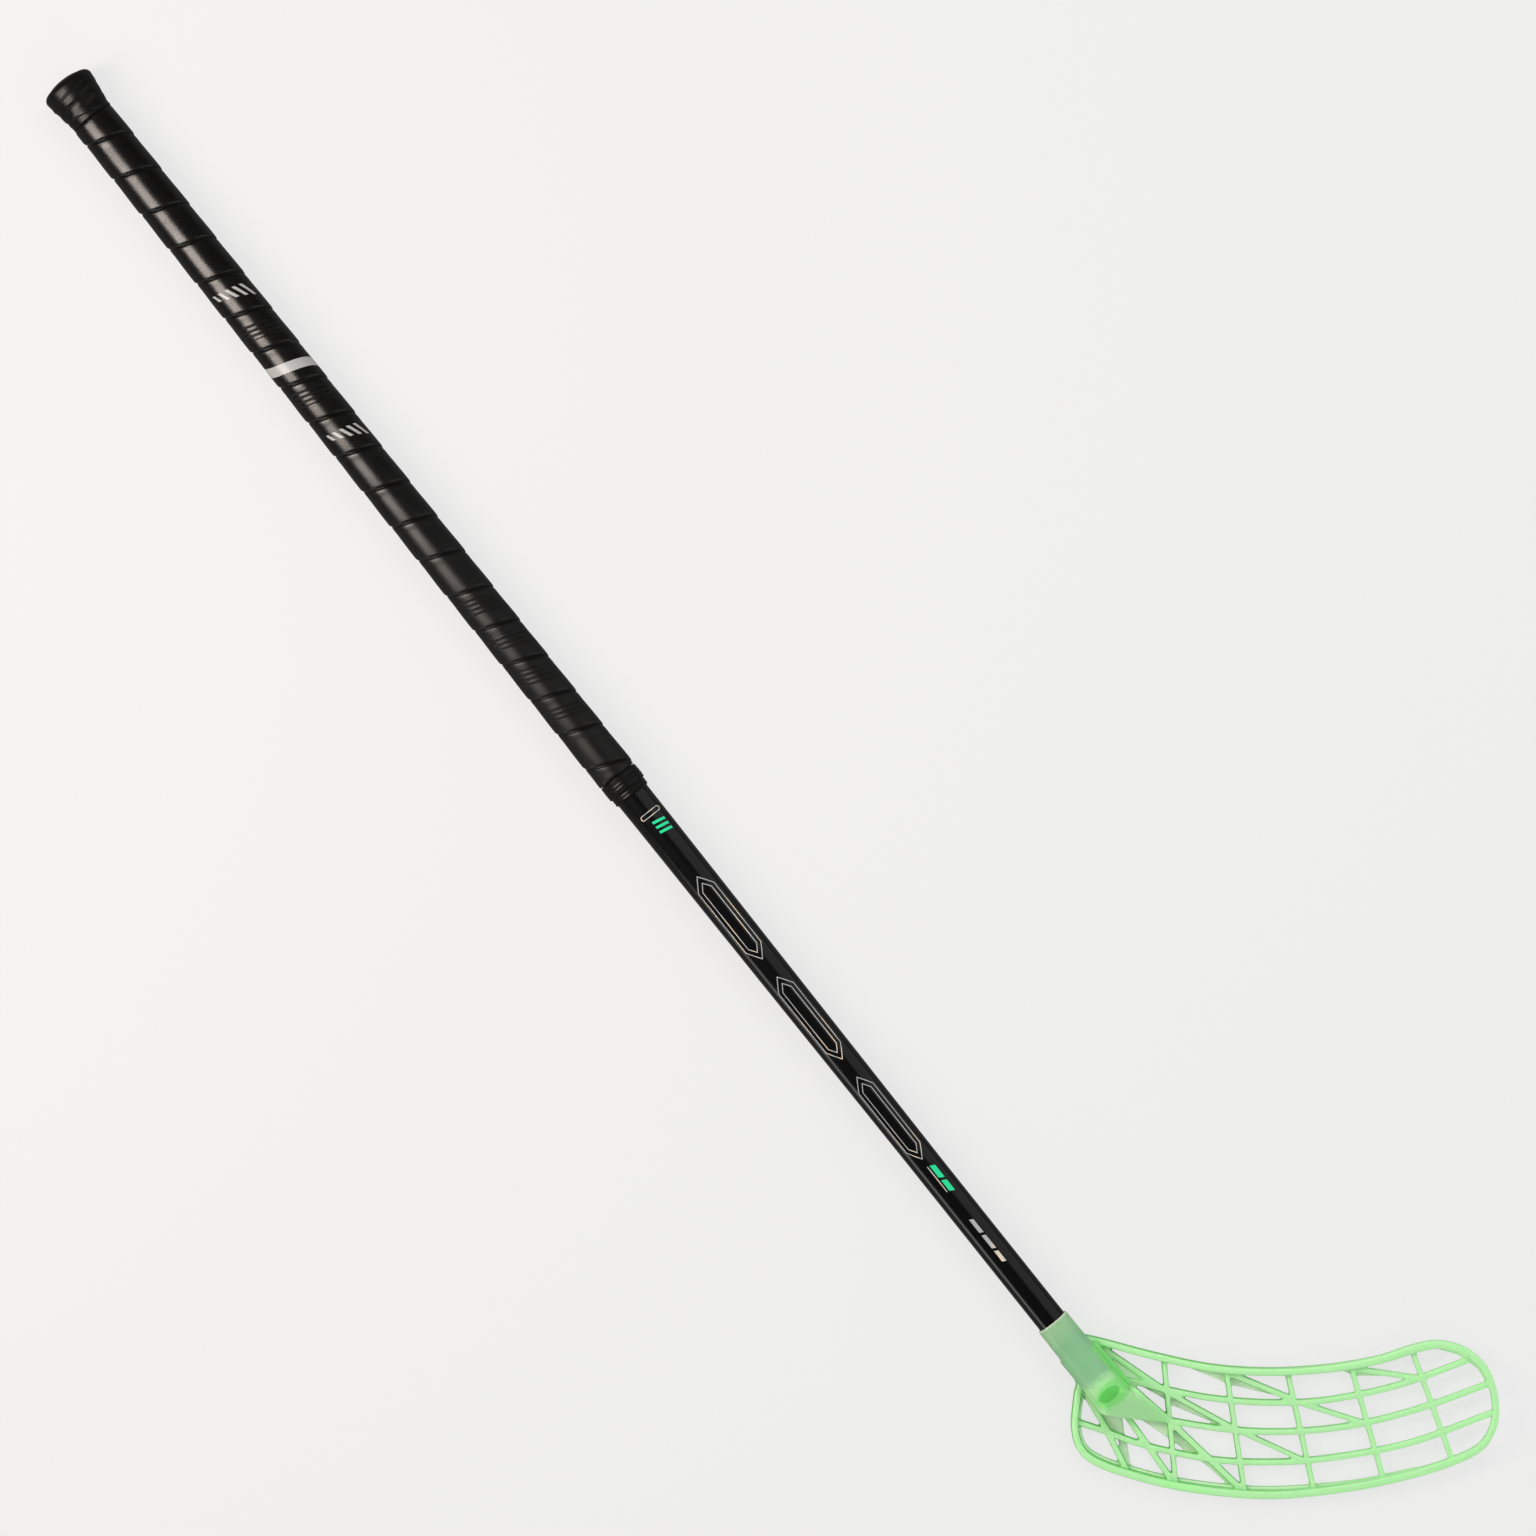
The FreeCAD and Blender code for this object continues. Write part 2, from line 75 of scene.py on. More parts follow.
def gridFaces(rows, columns, closed=True):  # quads of a grid, its columns closed into a ring or not
    r, c = np.meshgrid(np.arange(rows - 1), np.arange(columns if closed else columns - 1), indexing="ij")
    n = (c + 1) % columns
    here, below = r * columns, (r + 1) * columns
    return np.stack([here + c, here + n, below + n, below + c], axis=-1).reshape(-1, 4)


def ringAngles(count):
    return np.linspace(0, 2 * np.pi, count, endpoint=False)


def turned(along, radius, columns):  # x = along, (y, z) = radius * (cos, sin) of an angle on a full ring
    angle = ringAngles(columns)
    x = np.repeat(np.asarray(along, float)[:, None], columns, axis=1)
    r = np.asarray(radius, float)
    r = r[:, None] if r.ndim == 1 else r
    return np.stack([x, r * np.cos(angle), r * np.sin(angle)], axis=-1).reshape(-1, 3)


def makeTurned(name, along, radius, columns, body, material):
    faces = gridFaces(len(along), columns).tolist()
    piece = makePiece(name, turned(along, radius, columns), faces, body, material)
    tidyMesh(piece.data)
    return piece


def smoothStep(low, high, value):
    t = np.clip((value - low) / (high - low), 0, 1)
    return t * t * (3 - 2 * t)


# shader helpers

class Wire:  # a socket that takes part in sums
    def __init__(self, socket):
        self.socket = socket
        self.tree = socket.id_data

    def node(self, kind, settings=None, inputs=None, out=0):
        made = self.tree.nodes.new("ShaderNode" + kind)
        for key, value in (settings or {}).items():
            setattr(made, key, value)
        for key, value in (inputs or {}).items():
            if isinstance(value, Wire):
                self.tree.links.new(value.socket, made.inputs[key])
            else:
                made.inputs[key].default_value = value
        return Wire(made.outputs[out])

    def math(self, operation, *others, first=None):
        values = [self, *others] if first is None else [first, self, *others]
        return self.node("Math", {"operation": operation}, dict(enumerate(values)))

    def __add__(self, other):
        return self.math("ADD", other)

    def __sub__(self, other):
        return self.math("SUBTRACT", other)

    def __rsub__(self, other):
        return self.math("SUBTRACT", first=other)

    def __mul__(self, other):
        return self.math("MULTIPLY", other)

    def __truediv__(self, other):
        return self.math("DIVIDE", other)

    def __abs__(self):
        return self.math("ABSOLUTE")

    __radd__ = __add__
    __rmul__ = __mul__

    def upTo(self, other):
        return self.math("MINIMUM", other)

    def atLeast(self, other):
        return self.math("MAXIMUM", other)

    def wave(self):  # a sine from 0 to 1
        return self.math("SINE") * 0.5 + 0.5

    def between(self, low, high):  # 0 below low, 1 above high, smooth between
        return self.node("MapRange", {"interpolation_type": "SMOOTHSTEP"}, {0: self, 1: low, 2: high})

    def within(self, centre, half, soft):  # 1 inside centre +- half, fading over soft
        return 1 - abs(self - centre).between(half - soft, half + soft)

    def noise(self, scale, detail=2.0, roughness=0.5):
        inputs = {"Vector": self, "Scale": scale, "Detail": detail, "Roughness": roughness}
        return self.node("TexNoise", None, inputs)

    def tint(self, low, high):  # this value as a mix of two colours
        return self.node("Mix", {"data_type": "RGBA"}, {0: self, 6: colourOf(low), 7: colourOf(high)}, 2)

    def bump(self, distance, strength=1.0):
        return self.node("Bump", None, {"Height": self, "Distance": distance, "Strength": strength})


def colourOf(value):
    return value if isinstance(value, Wire) else (*value, 1.0)


def srgb(*levels):  # 0 to 255 picture levels as linear light
    return tuple((v / 255 / 12.92) if v < 10.3 else ((v / 255 + 0.055) / 1.055) ** 2.4 for v in levels)


def shades(colour, *shares):  # the same colour darker or paler
    return [[v * share for v in colour] for share in shares]


def anyOf(masks):
    return functools.reduce(Wire.atLeast, masks)


def newFinish(name):  # a material, its shader and each place in millimetres
    material = bpy.data.materials.new(name)
    material.use_nodes = True
    nodes = material.node_tree.nodes
    place = Wire(nodes.new("ShaderNodeTexCoord").outputs["Object"])
    cells = place.node("VectorMath", {"operation": "SCALE"}, {0: place, 3: 1 / mm})
    return material, nodes["Principled BSDF"], cells


def axesOf(vector):  # its x, y and z
    split = vector.node("SeparateXYZ", None, {0: vector})
    return [Wire(output) for output in split.socket.node.outputs]


def attribute(cells, name):
    return cells.node("Attribute", {"attribute_name": name}, out="Fac")


def feed(shader, **sockets):
    for name, value in sockets.items():
        socket = shader.inputs[name.replace("_", " ")]
        if isinstance(value, Wire):
            value.tree.links.new(value.socket, socket)
        else:
            socket.default_value = value


# the grip

gripSizes = {
    "start": 29.3,
    "end": 535.3,
    "endRound": (0.35, 0.8),  # drop and run at both ends
    "pitch": 26.75,
    "firstSeam": 45.0,  # where a seam crosses the upper side
    "turnsBefore": 2,  # turns counted before that seam, and more than the length needs
    "spareTurns": 3,
    "tubeTop": 6.0,
    "tubeRadius": 11.7,
    "taper": 0.0017444,
    "under": 0.65,  # cushion and glue over the tube
    "thickness": 0.6,  # of the band below the heights that follow
    "tuck": 0.48,  # height just below a seam
    "lip": 0.98,  # height of a lower edge, and the share of the width where it is reached
    "lipAt": 0.92,
    "riseCurve": 0.8,
    "lipRound": 1.9,
    "ghost": (0.10, 3.2, 1.7),  # the edge below shows through: height, place and width
    "groove": -0.25,
    "grooveEnds": (0.1, 1.5),
    "wobble": 0.32,
    "wobbleWaves": [(1.0, 2.3, 0.4), (0.6, 8.1, 1.1)],  # share, rate and start of each
    "crowding": 0.86,  # how much closer the rows are at a lap's edges
    "rowsPerTurn": 36,
    "columns": 112,
}


def tubeRadius(x):
    return gripSizes["tubeRadius"] - (x - gripSizes["tubeTop"]) * gripSizes["taper"]


def bandHeight(share):  # from the tucked upper edge up to the lip, which rounds off into a narrow groove
    g = gripSizes
    across = share * g["pitch"]
    rise = g["tuck"] + (g["lip"] - g["tuck"]) * smoothStep(0, g["lipAt"], share) ** g["riseCurve"]
    height, place, width = g["ghost"]
    rise += height * np.exp(-((across - place) / width) ** 2)
    left = np.clip((across - (g["pitch"] - g["lipRound"])) / g["lipRound"], 0, 1)
    rise -= (g["lip"] - g["groove"]) * (1 - np.sqrt(1 - left ** 2))
    tucked = 1 - smoothStep(*g["grooveEnds"], across)
    return rise * (1 - tucked) + g["groove"] * tucked


def drift(turns):  # how far a seam wavers at this place along the spiral
    waves = (part * np.sin(rate * turns + start) for part, rate, start in gripSizes["wobbleWaves"])
    return gripSizes["wobble"] * sum(waves)


def makeGripBand(material):
    # r(x, angle) = tube radius + cushion + height of the turn there; rows follow the left-handed spiral
    g = gripSizes
    rows, columns = g["rowsPerTurn"], g["columns"]
    turns = math.ceil((g["end"] - g["start"]) / g["pitch"]) + g["spareTurns"]
    count = turns * rows
    step = np.arange(count)
    even = (step % rows) / rows
    share = (even - g["crowding"] * np.sin(2 * np.pi * even) / (2 * np.pi))[:, None]
    turn = (step // rows)[:, None]
    angle = ringAngles(columns)[None, :]
    spun = (angle - np.pi / 2) / (2 * np.pi)
    along = turn - spun  # how far round the spiral, in turns
    seamAtTop = g["firstSeam"] - g["pitch"] * g["turnsBefore"]
    x = seamAtTop + g["pitch"] * (turn + share - spun)
    x = x + (1 - share) * drift(along - 1) + share * drift(along)
    held = np.clip(x, g["start"], g["end"])
    cutShare = ((held - seamAtTop) / g["pitch"] + spun) % 1
    shareThere = np.where(held == x, share, cutShare)
    endDrop, endRun = g["endRound"]
    toEnd = np.minimum(held - g["start"], g["end"] - held)
    radius = tubeRadius(held) + g["under"] + bandHeight(shareThere) + g["thickness"]
    radius -= endDrop * (1 - smoothStep(0, endRun, toEnd))
    outer = np.stack([held, radius * np.cos(angle), radius * np.sin(angle)], axis=-1).reshape(-1, 3)
    ends = np.array([g["start"], g["end"]])
    inner = turned(ends, tubeRadius(ends) + g["under"], columns)
    quads = gridFaces(count, columns, closed=False)
    r = np.arange(rows, count - 1) * columns  # the ring closes one turn lower
    lower, last = r - rows * columns, columns - 1
    join = np.stack([r + last, lower, lower + columns, r + columns + last], axis=-1)
    low = len(outer)
    high = low + columns
    c = np.arange(columns)
    n = (c + 1) % columns
    bore = np.stack([low + c, high + c, high + n, low + n], axis=-1)
    startRing = np.stack([c, low + c, low + n, n], axis=-1)
    endRow = (count - 1) * columns
    endRing = np.stack([endRow + c, endRow + n, high + n, high + c], axis=-1)
    faces = np.concatenate([quads, join, bore, startRing, endRing])
    piece = makePiece("gripBand", np.concatenate([outer, inner]), faces.tolist(), "stick", material)
    for name, values in (("across", shareThere * g["pitch"]), ("along", along)):
        layer = piece.data.attributes.new(name, "FLOAT", "POINT")
        layer.data.foreach_set("value", np.append(values.ravel(), np.zeros(len(inner))).astype(np.float32))
    tidyMesh(piece.data)
    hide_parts("grip_band")


def onBand(x):  # what shows at x on the upper side: the way across the band, and the turn
    g = gripSizes
    turn = (x - g["firstSeam"]) / g["pitch"] + g["turnsBefore"]
    return (turn % 1) * g["pitch"], math.floor(turn)


gripFinish = {
    "black": (0.0030, 0.0029, 0.0028),
    "shades": (0.75, 1.35, 2.0),  # darkest, palest and rubbed share of the black
    "rubbedEdge": (24.0, 26.6),
    "foil": (0.36, 0.36, 0.355),
    "rough": 0.29,
    "roughLow": 0.40,
    "lowFrom": (250, 420),
    "stripe": 221.0,
    "stripeHalf": (3.3, 0.12),  # half width and fade, in millimetres
    "stripeTurns": (0.42, 0.004),  # half length and fade, in turns
    "slashes": [(165.0, 0.01), (272.4, 0.03)],  # x, and shift round the grip in turns
    "slashSteps": [-0.13, -0.07, -0.01, 0.05, 0.11],
    "slashTurns": (0.013, 0.0015),
    "slashLength": 2.2,  # half the first stroke's, what each next one adds, and the fade
    "slashGrowth": 0.5,
    "slashFade": 0.15,
    "slashLean": 0.006,  # turns in a millimetre
    "hatches": [(192.0, -0.055), (242.5, -0.02), (404.0, -0.02), (432.0, 0.05), (458.0, -0.06),
                (486.0, 0.0)],
    "hatchHalf": (5.6, 0.3),
    "hatchTurns": (0.17, 0.006),
    "hatchLean": 0.010,
    "lineStep": 1.6,  # half way from one pressed line to the next, and its flanks
    "lineFlank": (0.1, 0.85),
    "lineDepth": 10.0,
}


def makeGripFinish():
    f = gripFinish
    material, shader, cells = newFinish("grippyBlack")
    across = attribute(cells, "across")
    along = attribute(cells, "along")
    grain = cells.node("TexVoronoi", {"feature": "F1"}, {"Vector": cells, "Scale": 1.5})
    fine = cells.noise(scale=0.9, detail=3.0, roughness=0.6)
    broad = cells.noise(scale=0.11)
    # foil: a stripe on one turn, its ends on the underside, and short leaning strokes in a row
    middle, turn = onBand(f["stripe"])
    foils = [across.within(middle, *f["stripeHalf"]) * along.within(turn, *f["stripeTurns"])]
    for slashX, shift in f["slashes"]:
        middle, turn = onBand(slashX)
        leaning = along - (across - middle) * f["slashLean"]
        for number, step in enumerate(f["slashSteps"]):
            half = f["slashLength"] + f["slashGrowth"] * number
            stroke = leaning.within(turn + shift + step, *f["slashTurns"])
            foils.append(stroke * across.within(middle, half, f["slashFade"]))
    foil = anyOf(foils)
    # patches of lines pressed into the band
    patches = []
    for hatchX, shift in f["hatches"]:
        middle, turn = onBand(hatchX)
        leaning = along - (across - middle) * f["hatchLean"]
        around = leaning.within(turn + shift, *f["hatchTurns"])
        patches.append(around * across.within(middle, *f["hatchHalf"]))
    lines = (1 - across.math("PINGPONG", f["lineStep"]).between(*f["lineFlank"])) * anyOf(patches)
    dark, pale, rubbed = shades(f["black"], *f["shades"])
    blackTone = (broad * 0.6 + fine * 0.4).tint(dark, pale)
    worn = (across.between(*f["rubbedEdge"]) * 0.5).tint(blackTone, rubbed)
    lower = axesOf(cells)[0].between(*f["lowFrom"])
    rough = f["rough"] + lower * (f["roughLow"] - f["rough"]) + (fine - 0.5) * 0.16 + (broad - 0.5) * 0.1
    rough = (rough + lines * 0.25) * (1 - foil) + foil * (0.34 + fine * 0.1)
    height = fine * 0.6 + grain * 0.3 - lines * f["lineDepth"] + foil * 0.5
    feed(shader, Base_Color=foil.tint(worn, f["foil"]), Roughness=rough, Metallic=foil * 0.06)
    feed(shader, Normal=height.bump(0.00008, 0.6), IOR=1.5)
    return material


# the end cap

capSizes = {
    "crown": 1.8,
    "flat": 5.0,
    "radius": 16.55,
    "corner": 4.2,  # round of the crown's edge, and its share along the shaft
    "cornerShare": 0.95,
    "waist": 3.127,  # how much the knob narrows down to its hem
    "waistEnds": (-0.12, 1.06),
    "head": 6.0,
    "hem": 29.0,
    "hemRound": 0.5,
    "skirtInner": 11.8,
    "spigotEnd": 36.0,
    "spigotEdge": 0.6,
    "spigotRadius": 9.68,
    "spigotInner": 7.3,
    "wrapEdges": [(16.6, 0.20, 5.0), (25.4, 0.42, 4.0)],  # place, height and run of each
    "wrapFall": 0.5,
    "wrapStart": (7, 11),
    "wrapEnd": (28, 29),
    "lean": 0.62,  # slant of the wrap, in pitches of the grip
    "fold": 0.15,
    "foldPitch": 6.3,
    "foldEnd": (24, 27),
    "columns": 144,
}


def makeCap(material):
    # r(x, angle): a rounded knob that narrows down to the grip, with two slanting wrap edges on its skirt
    c = capSizes
    swing = np.linspace(0, np.pi / 2, 14)
    ball = np.linspace(0, 1, 8)
    crownX = c["crown"] * ball ** 2
    crownR = c["flat"] + (c["radius"] - c["corner"] - c["flat"]) * ball
    cornerX = crownX[-1] + c["corner"] * (1 - np.cos(swing)) * c["cornerShare"]
    cornerR = c["radius"] - c["corner"] + c["corner"] * np.sin(swing)
    skirtX = np.linspace(cornerX[-1], c["hem"] - c["hemRound"], 74)
    down = (skirtX - skirtX[0]) / (skirtX[-1] - skirtX[0])
    skirtR = c["radius"] - c["waist"] * smoothStep(*c["waistEnds"], down)
    hemX = [c["hem"] - 0.2, c["hem"]]
    hemR = [skirtR[-1] - 0.1, skirtR[-1] - c["hemRound"]]
    outside = len(crownX) + len(cornerX) + len(skirtX) + 1
    spigotEdge = c["spigotEnd"] - c["spigotEdge"]
    insideX = [c["hem"], c["head"], c["head"], spigotEdge,
               c["spigotEnd"], c["spigotEnd"], c["head"], c["head"]]
    insideR = [c["skirtInner"], c["skirtInner"], c["spigotRadius"], c["spigotRadius"],
               c["spigotRadius"] - c["spigotEdge"], c["spigotInner"], c["spigotInner"], 0.0]
    x = np.concatenate([[0.0], crownX, cornerX[1:], skirtX[1:], hemX, insideX])[:, None]
    r = np.concatenate([[0.0], crownR, cornerR[1:], skirtR[1:], hemR, insideR])[:, None]
    angle = ringAngles(c["columns"])[None, :]
    start, stop = c["wrapStart"]
    onSkirt = (np.arange(len(x))[:, None] < outside) & (x > start)
    wrapped = onSkirt * smoothStep(start, stop, x)
    slant = -gripSizes["pitch"] * c["lean"] * ((angle + np.pi / 2) % (2 * np.pi) - np.pi) / (2 * np.pi)
    ring = r + 0 * angle
    for place, height, run in c["wrapEdges"]:
        past = x - (place + slant)
        edge = np.where(past < 0, smoothStep(-run, 0, past), 1 - smoothStep(0, c["wrapFall"], past))
        ring = ring + height * edge * wrapped * (1 - smoothStep(*c["wrapEnd"], x))
    folds = c["fold"] * np.sin((x + slant) * 2 * np.pi / c["foldPitch"]) * (1 + 0.4 * np.sin(3 * angle))
    ring = ring + folds * wrapped * (1 - smoothStep(*c["foldEnd"], x))
    piece = makeTurned("endCapKnob", x[:, 0], ring, c["columns"], "cap", material)
    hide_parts("end_cap")


capFinish = {
    "dark": (0.0035, 0.0035, 0.0035),
    "pale": (0.0065, 0.0063, 0.0061),
    "rough": 0.31,
}


def makeCapFinish():
    f = capFinish
    material, shader, cells = newFinish("capRubber")
    fine = cells.noise(scale=1.3, detail=3.0, roughness=0.6)
    broad = cells.noise(scale=0.16)
    feed(shader, Base_Color=(fine * 0.5 + broad * 0.5).tint(f["dark"], f["pale"]))
    feed(shader, Roughness=f["rough"] + (fine - 0.5) * 0.2 + (broad - 0.5) * 0.12)
    feed(shader, Normal=fine.bump(0.00008, 0.6), IOR=1.5, Specular_IOR_Level=0.22)
    return material


# the collar at the foot of the grip

collarSizes = {
    "start": 535.6,
    "end": 550.6,
    "bore": 10.87,
    "top": 12.75,
    "foot": 11.75,
    "step": (544.8, 545.9),  # where the top falls to the foot
    "ribs": [540.3, 542.5, 547.2, 549.3],  # where each tooth is highest
    "ribHeight": 0.20,
    "ribRise": 0.85,
    "ribFall": 0.4,
    "rimDrop": 0.75,
    "rimRun": 0.9,
    "unevenRun": 2.0,
    "rows": 150,
    "columns": 120,
}


def makeCollar(material):
    # r(x, angle): two steps of a rubber ring with fine saw teeth that rise slowly and fall at once
    c = collarSizes
    x = np.linspace(c["start"], c["end"], c["rows"])
    angle = ringAngles(c["columns"])[None, :]
    uneven = 0.10 * np.sin(angle + 0.6) + 0.06 * np.sin(3 * angle + 1.0)
    r = c["top"] - (c["top"] - c["foot"]) * smoothStep(*c["step"], x)
    for rib in c["ribs"]:
        rise = np.clip((x - rib + c["ribRise"]) / c["ribRise"], 0, 1)
        r = r + c["ribHeight"] * rise * (1 - smoothStep(0, c["ribFall"], x - rib))
    toRim = np.minimum(x - c["start"], c["end"] - x)
    r = r - c["rimDrop"] * (1 - smoothStep(0, c["rimRun"], toRim))
    ring = r[:, None] + uneven * smoothStep(0, c["unevenRun"], toRim)[:, None]
    bore = np.full((2, c["columns"]), c["bore"])
    along = np.concatenate([x, [c["end"], c["start"], c["start"]]])
    rings = np.concatenate([ring, bore, ring[:1]])
    piece = makeTurned("collarRing", along, rings, c["columns"], "stick", material)
    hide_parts("grip_collar")


collarFinish = {
    "dark": (0.0035, 0.0035, 0.0035),
    "pale": (0.007, 0.007, 0.007),
    "rough": 0.27,
}


def makeCollarFinish():
    f = collarFinish
    material, shader, cells = newFinish("collarRubber")
    fine = cells.noise(scale=1.6, detail=3.0, roughness=0.6)
    broad = cells.noise(scale=0.2)
    feed(shader, Base_Color=fine.tint(f["dark"], f["pale"]), Roughness=f["rough"] + broad * 0.08)
    feed(shader, Normal=fine.bump(0.000004, 0.3), IOR=1.5, Specular_IOR_Level=0.22)
    return material


# the cushion under the band

cushionSizes = {
    "inset": 0.3,
    "inner": 0.06,  # over the tube
    "outer": 0.53,
    "rows": 60,
    "columns": 72,
}


def makeCushion(material):
    # a thin sleeve: r = tube radius + glue, and the same plus its thickness
    c = cushionSizes
    x = np.linspace(gripSizes["start"] + c["inset"], gripSizes["end"] - c["inset"], c["rows"])
    outer = tubeRadius(x) + c["outer"]
    inner = tubeRadius(x[::-1]) + c["inner"]
    along = np.concatenate([x, x[::-1], x[:1]])
    radius = np.concatenate([outer, inner, outer[:1]])
    piece = makeTurned("cushionSleeve", along, radius, c["columns"], "stick", material)
    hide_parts("grip_underlay")


cushionFinish = {
    "dark": (0.012, 0.012, 0.012),
    "pale": (0.03, 0.03, 0.03),
    "rough": 0.75,
}


def makeCushionFinish():
    f = cushionFinish
    material, shader, cells = newFinish("cushionFoam")
    pores = cells.node("TexVoronoi", {"feature": "F1"}, {"Vector": cells, "Scale": 2.2})
    feed(shader, Base_Color=pores.tint(f["dark"], f["pale"]), Roughness=f["rough"] + pores * 0.2)
    feed(shader, Normal=pores.bump(0.0001, 0.5))
    return material


# the shaft

shaftFinish = {
    "black": (0.0030, 0.0030, 0.0033),
    "shades": (0.8, 1.3),
    "silver": (0.44, 0.45, 0.46),
    "blue": (0.42, 0.66, 0.78),  # what the silver turns to as it shimmers
    "gold": (0.86, 0.70, 0.52),
    "green": srgb(32, 208, 144),
    "rough": 0.13,
    "silverRough": 0.24,
    "greenRough": 0.3,
    "radius": 9.7,
    "outlines": [644.5, 721.5, 798.5],  # middle of each pinstripe figure
    "outlineLength": 31.5,  # half of it, and of the width
    "outlineHalf": 5.9,
    "outlinePoint": (1.5, 0.55),  # run of the pointed ends, and what makes that a distance
    "outlineInsets": (0.0, 2.7),
    "pin": (0.13, 0.312),  # where a pinstripe fades
    "dashes": [(881.5, 5.0), (893.5, 5.0), (904.5, 4.0)],  # middle and half length
    "dashLean": 0.5,
    "dashFade": 0.12,
    "dashRound": (0.4, 1.25, 0.12),  # way round the shaft: middle, half and fade
    "rule": (845.2, 9.6, 0.1),
    "ruleRound": (-0.6, 0.28, 0.1),
    "tag": (565.6, 2.0, 5.2),  # place along, middle and half length round the shaft
    "tagLine": (1.45, 0.22, 0.08),
    "slashes": [571.4, 574.9, 578.4],
    "slashHalf": (0.85, 0.1),
    "slashRound": (3.2, 4.0, 0.15),
    "slashLean": 0.2,
    "bars": [(840.0, 4.6), (850.6, 4.0)],
    "barFade": 0.15,
    "barRound": (2.6, 1.7, 0.15),
    "barLean": 0.5,
}


def makeShaftFinish():
    f = shaftFinish
    material, shader, cells = newFinish("glossLacquer")
    x, y, z = axesOf(cells)
    girth = y.math("ARCTAN2", z) * f["radius"]  # way round the shaft from its upper side
    # silver: pinstripe figures, dashes, a thin rule and a small ring
    point, pointScale = f["outlinePoint"]
    flank = abs(girth)
    silvers = []
    for middle in f["outlines"]:
        pointed = (abs(x - middle) + flank * point - f["outlineLength"]) * pointScale
        shape = (flank - f["outlineHalf"]).atLeast(pointed)
        silvers += [1 - abs(shape + inset).between(*f["pin"]) for inset in f["outlineInsets"]]
    for middle, half in f["dashes"]:
        leaning = x - girth * f["dashLean"]
        silvers.append(leaning.within(middle, half, f["dashFade"]) * girth.within(*f["dashRound"]))
    silvers.append(x.within(*f["rule"]) * girth.within(*f["ruleRound"]))
    tagX, tagMiddle, tagHalf = f["tag"]
    aside = x - tagX
    beyond = (abs(girth - tagMiddle) - tagHalf).atLeast(0.0)
    silvers.append((aside * aside + beyond * beyond).math("SQRT").within(*f["tagLine"]))
    silver = anyOf(silvers)
    # green: short strokes below the grip, two bars near the foot
    greens = []
    for middle in f["slashes"]:
        leaning = x - girth * f["slashLean"]
        greens.append(leaning.within(middle, *f["slashHalf"]) * girth.within(*f["slashRound"]))
    for middle, half in f["bars"]:
        leaning = x - girth * f["barLean"]
        greens.append(leaning.within(middle, half, f["barFade"]) * girth.within(*f["barRound"]))
    green = anyOf(greens)
    weave = (x * 5.2 + girth * 1.4 + cells.noise(scale=0.5) * 3.0).wave()
    fine = cells.noise(scale=2.2, detail=3.0)
    broad = cells.noise(scale=0.05)
    # painted shimmer: bands where the silver turns blue and gold along and round the shaft
    shine = (x * 0.21 + girth * 0.9).wave()
    pearl = shine.tint(shine.tint(f["silver"], f["blue"]), f["gold"])
    pearl = (x * 0.07).math("SINE").between(-0.6, 0.8).tint(f["silver"], pearl)
    lacquer = (fine * 0.5 + broad * 0.5).tint(*shades(f["black"], *f["shades"]))
    colour = green.tint(silver.tint(lacquer, pearl), f["green"])
    rough = f["rough"] + weave * 0.09 + (broad - 0.5) * 0.06
    rough = rough * (1 - silver) + silver * f["silverRough"]
    rough = rough * (1 - green) + green * f["greenRough"]
    height = weave * 0.5 + fine * 0.12 + silver * 0.4 + green * 0.4
    feed(shader, Base_Color=colour, Roughness=rough, Metallic=silver * 0.15)
    feed(shader, Normal=height.bump(0.00002, 0.5), IOR=1.45)
    return material


# the blade: drawn in millimetres, u along the floor line to the toe, v up, mouth of the socket at (0, 0)

bladeSizes = {
    "mouth": 959.0,
    "lie": math.radians(51.43),
    "back": -16.75,
    "hookStart": 120.0,
    "hookRun": 147.8,
    "hook": 10.0,
    "rim": (10.5, 7.5),  # depth at the heel and at the toe
    "rib": (7.5, 5.5),
    "web": (2.2, 2.2),
    "pocket": (5.6, 5.6),  # web beside the shoulder
    "shoulder": (14.5, 14.5),
    "flange": (4.0, 4.0),
    "flangeWidth": 1.9,
    "flangeLoss": 0.75,  # share of it that runs out towards the toe, and where
    "flangeFade": (130, 215),
    "toeLedge": 1.5,  # widest reach of the ledge inside the toe
    "overlap": 0.6,  # what a ledge has inside the rim
    "lipHalf": 3.1,
    "lipRise": 6.0,  # how much higher the heel's lip ends on the socket's side
    "lipHollow": 1.4,  # and its back, in shares of that
    "upright": 3.2,
    "course": 3.7,
    "brace": 3.6,
    "draft": 0.05,  # share by which a bar narrows to its front
    "squareness": 7.0,
    "socketRadius": 11.15,
    "mouthRadius": 10.45,
    "mouthEdge": 0.35,
    "bore": 9.34,
    "boreEnd": 49.0,
    "collarUp": 3.4,  # how far the mouth reaches up the shaft from the drawing's origin
    "socketColumns": 96,
    "draftGap": 1e-7,
    "voxel": 0.62,
    "softness": 0.5,
    "softRounds": 3,
    "keptTriangles": 190000,
}

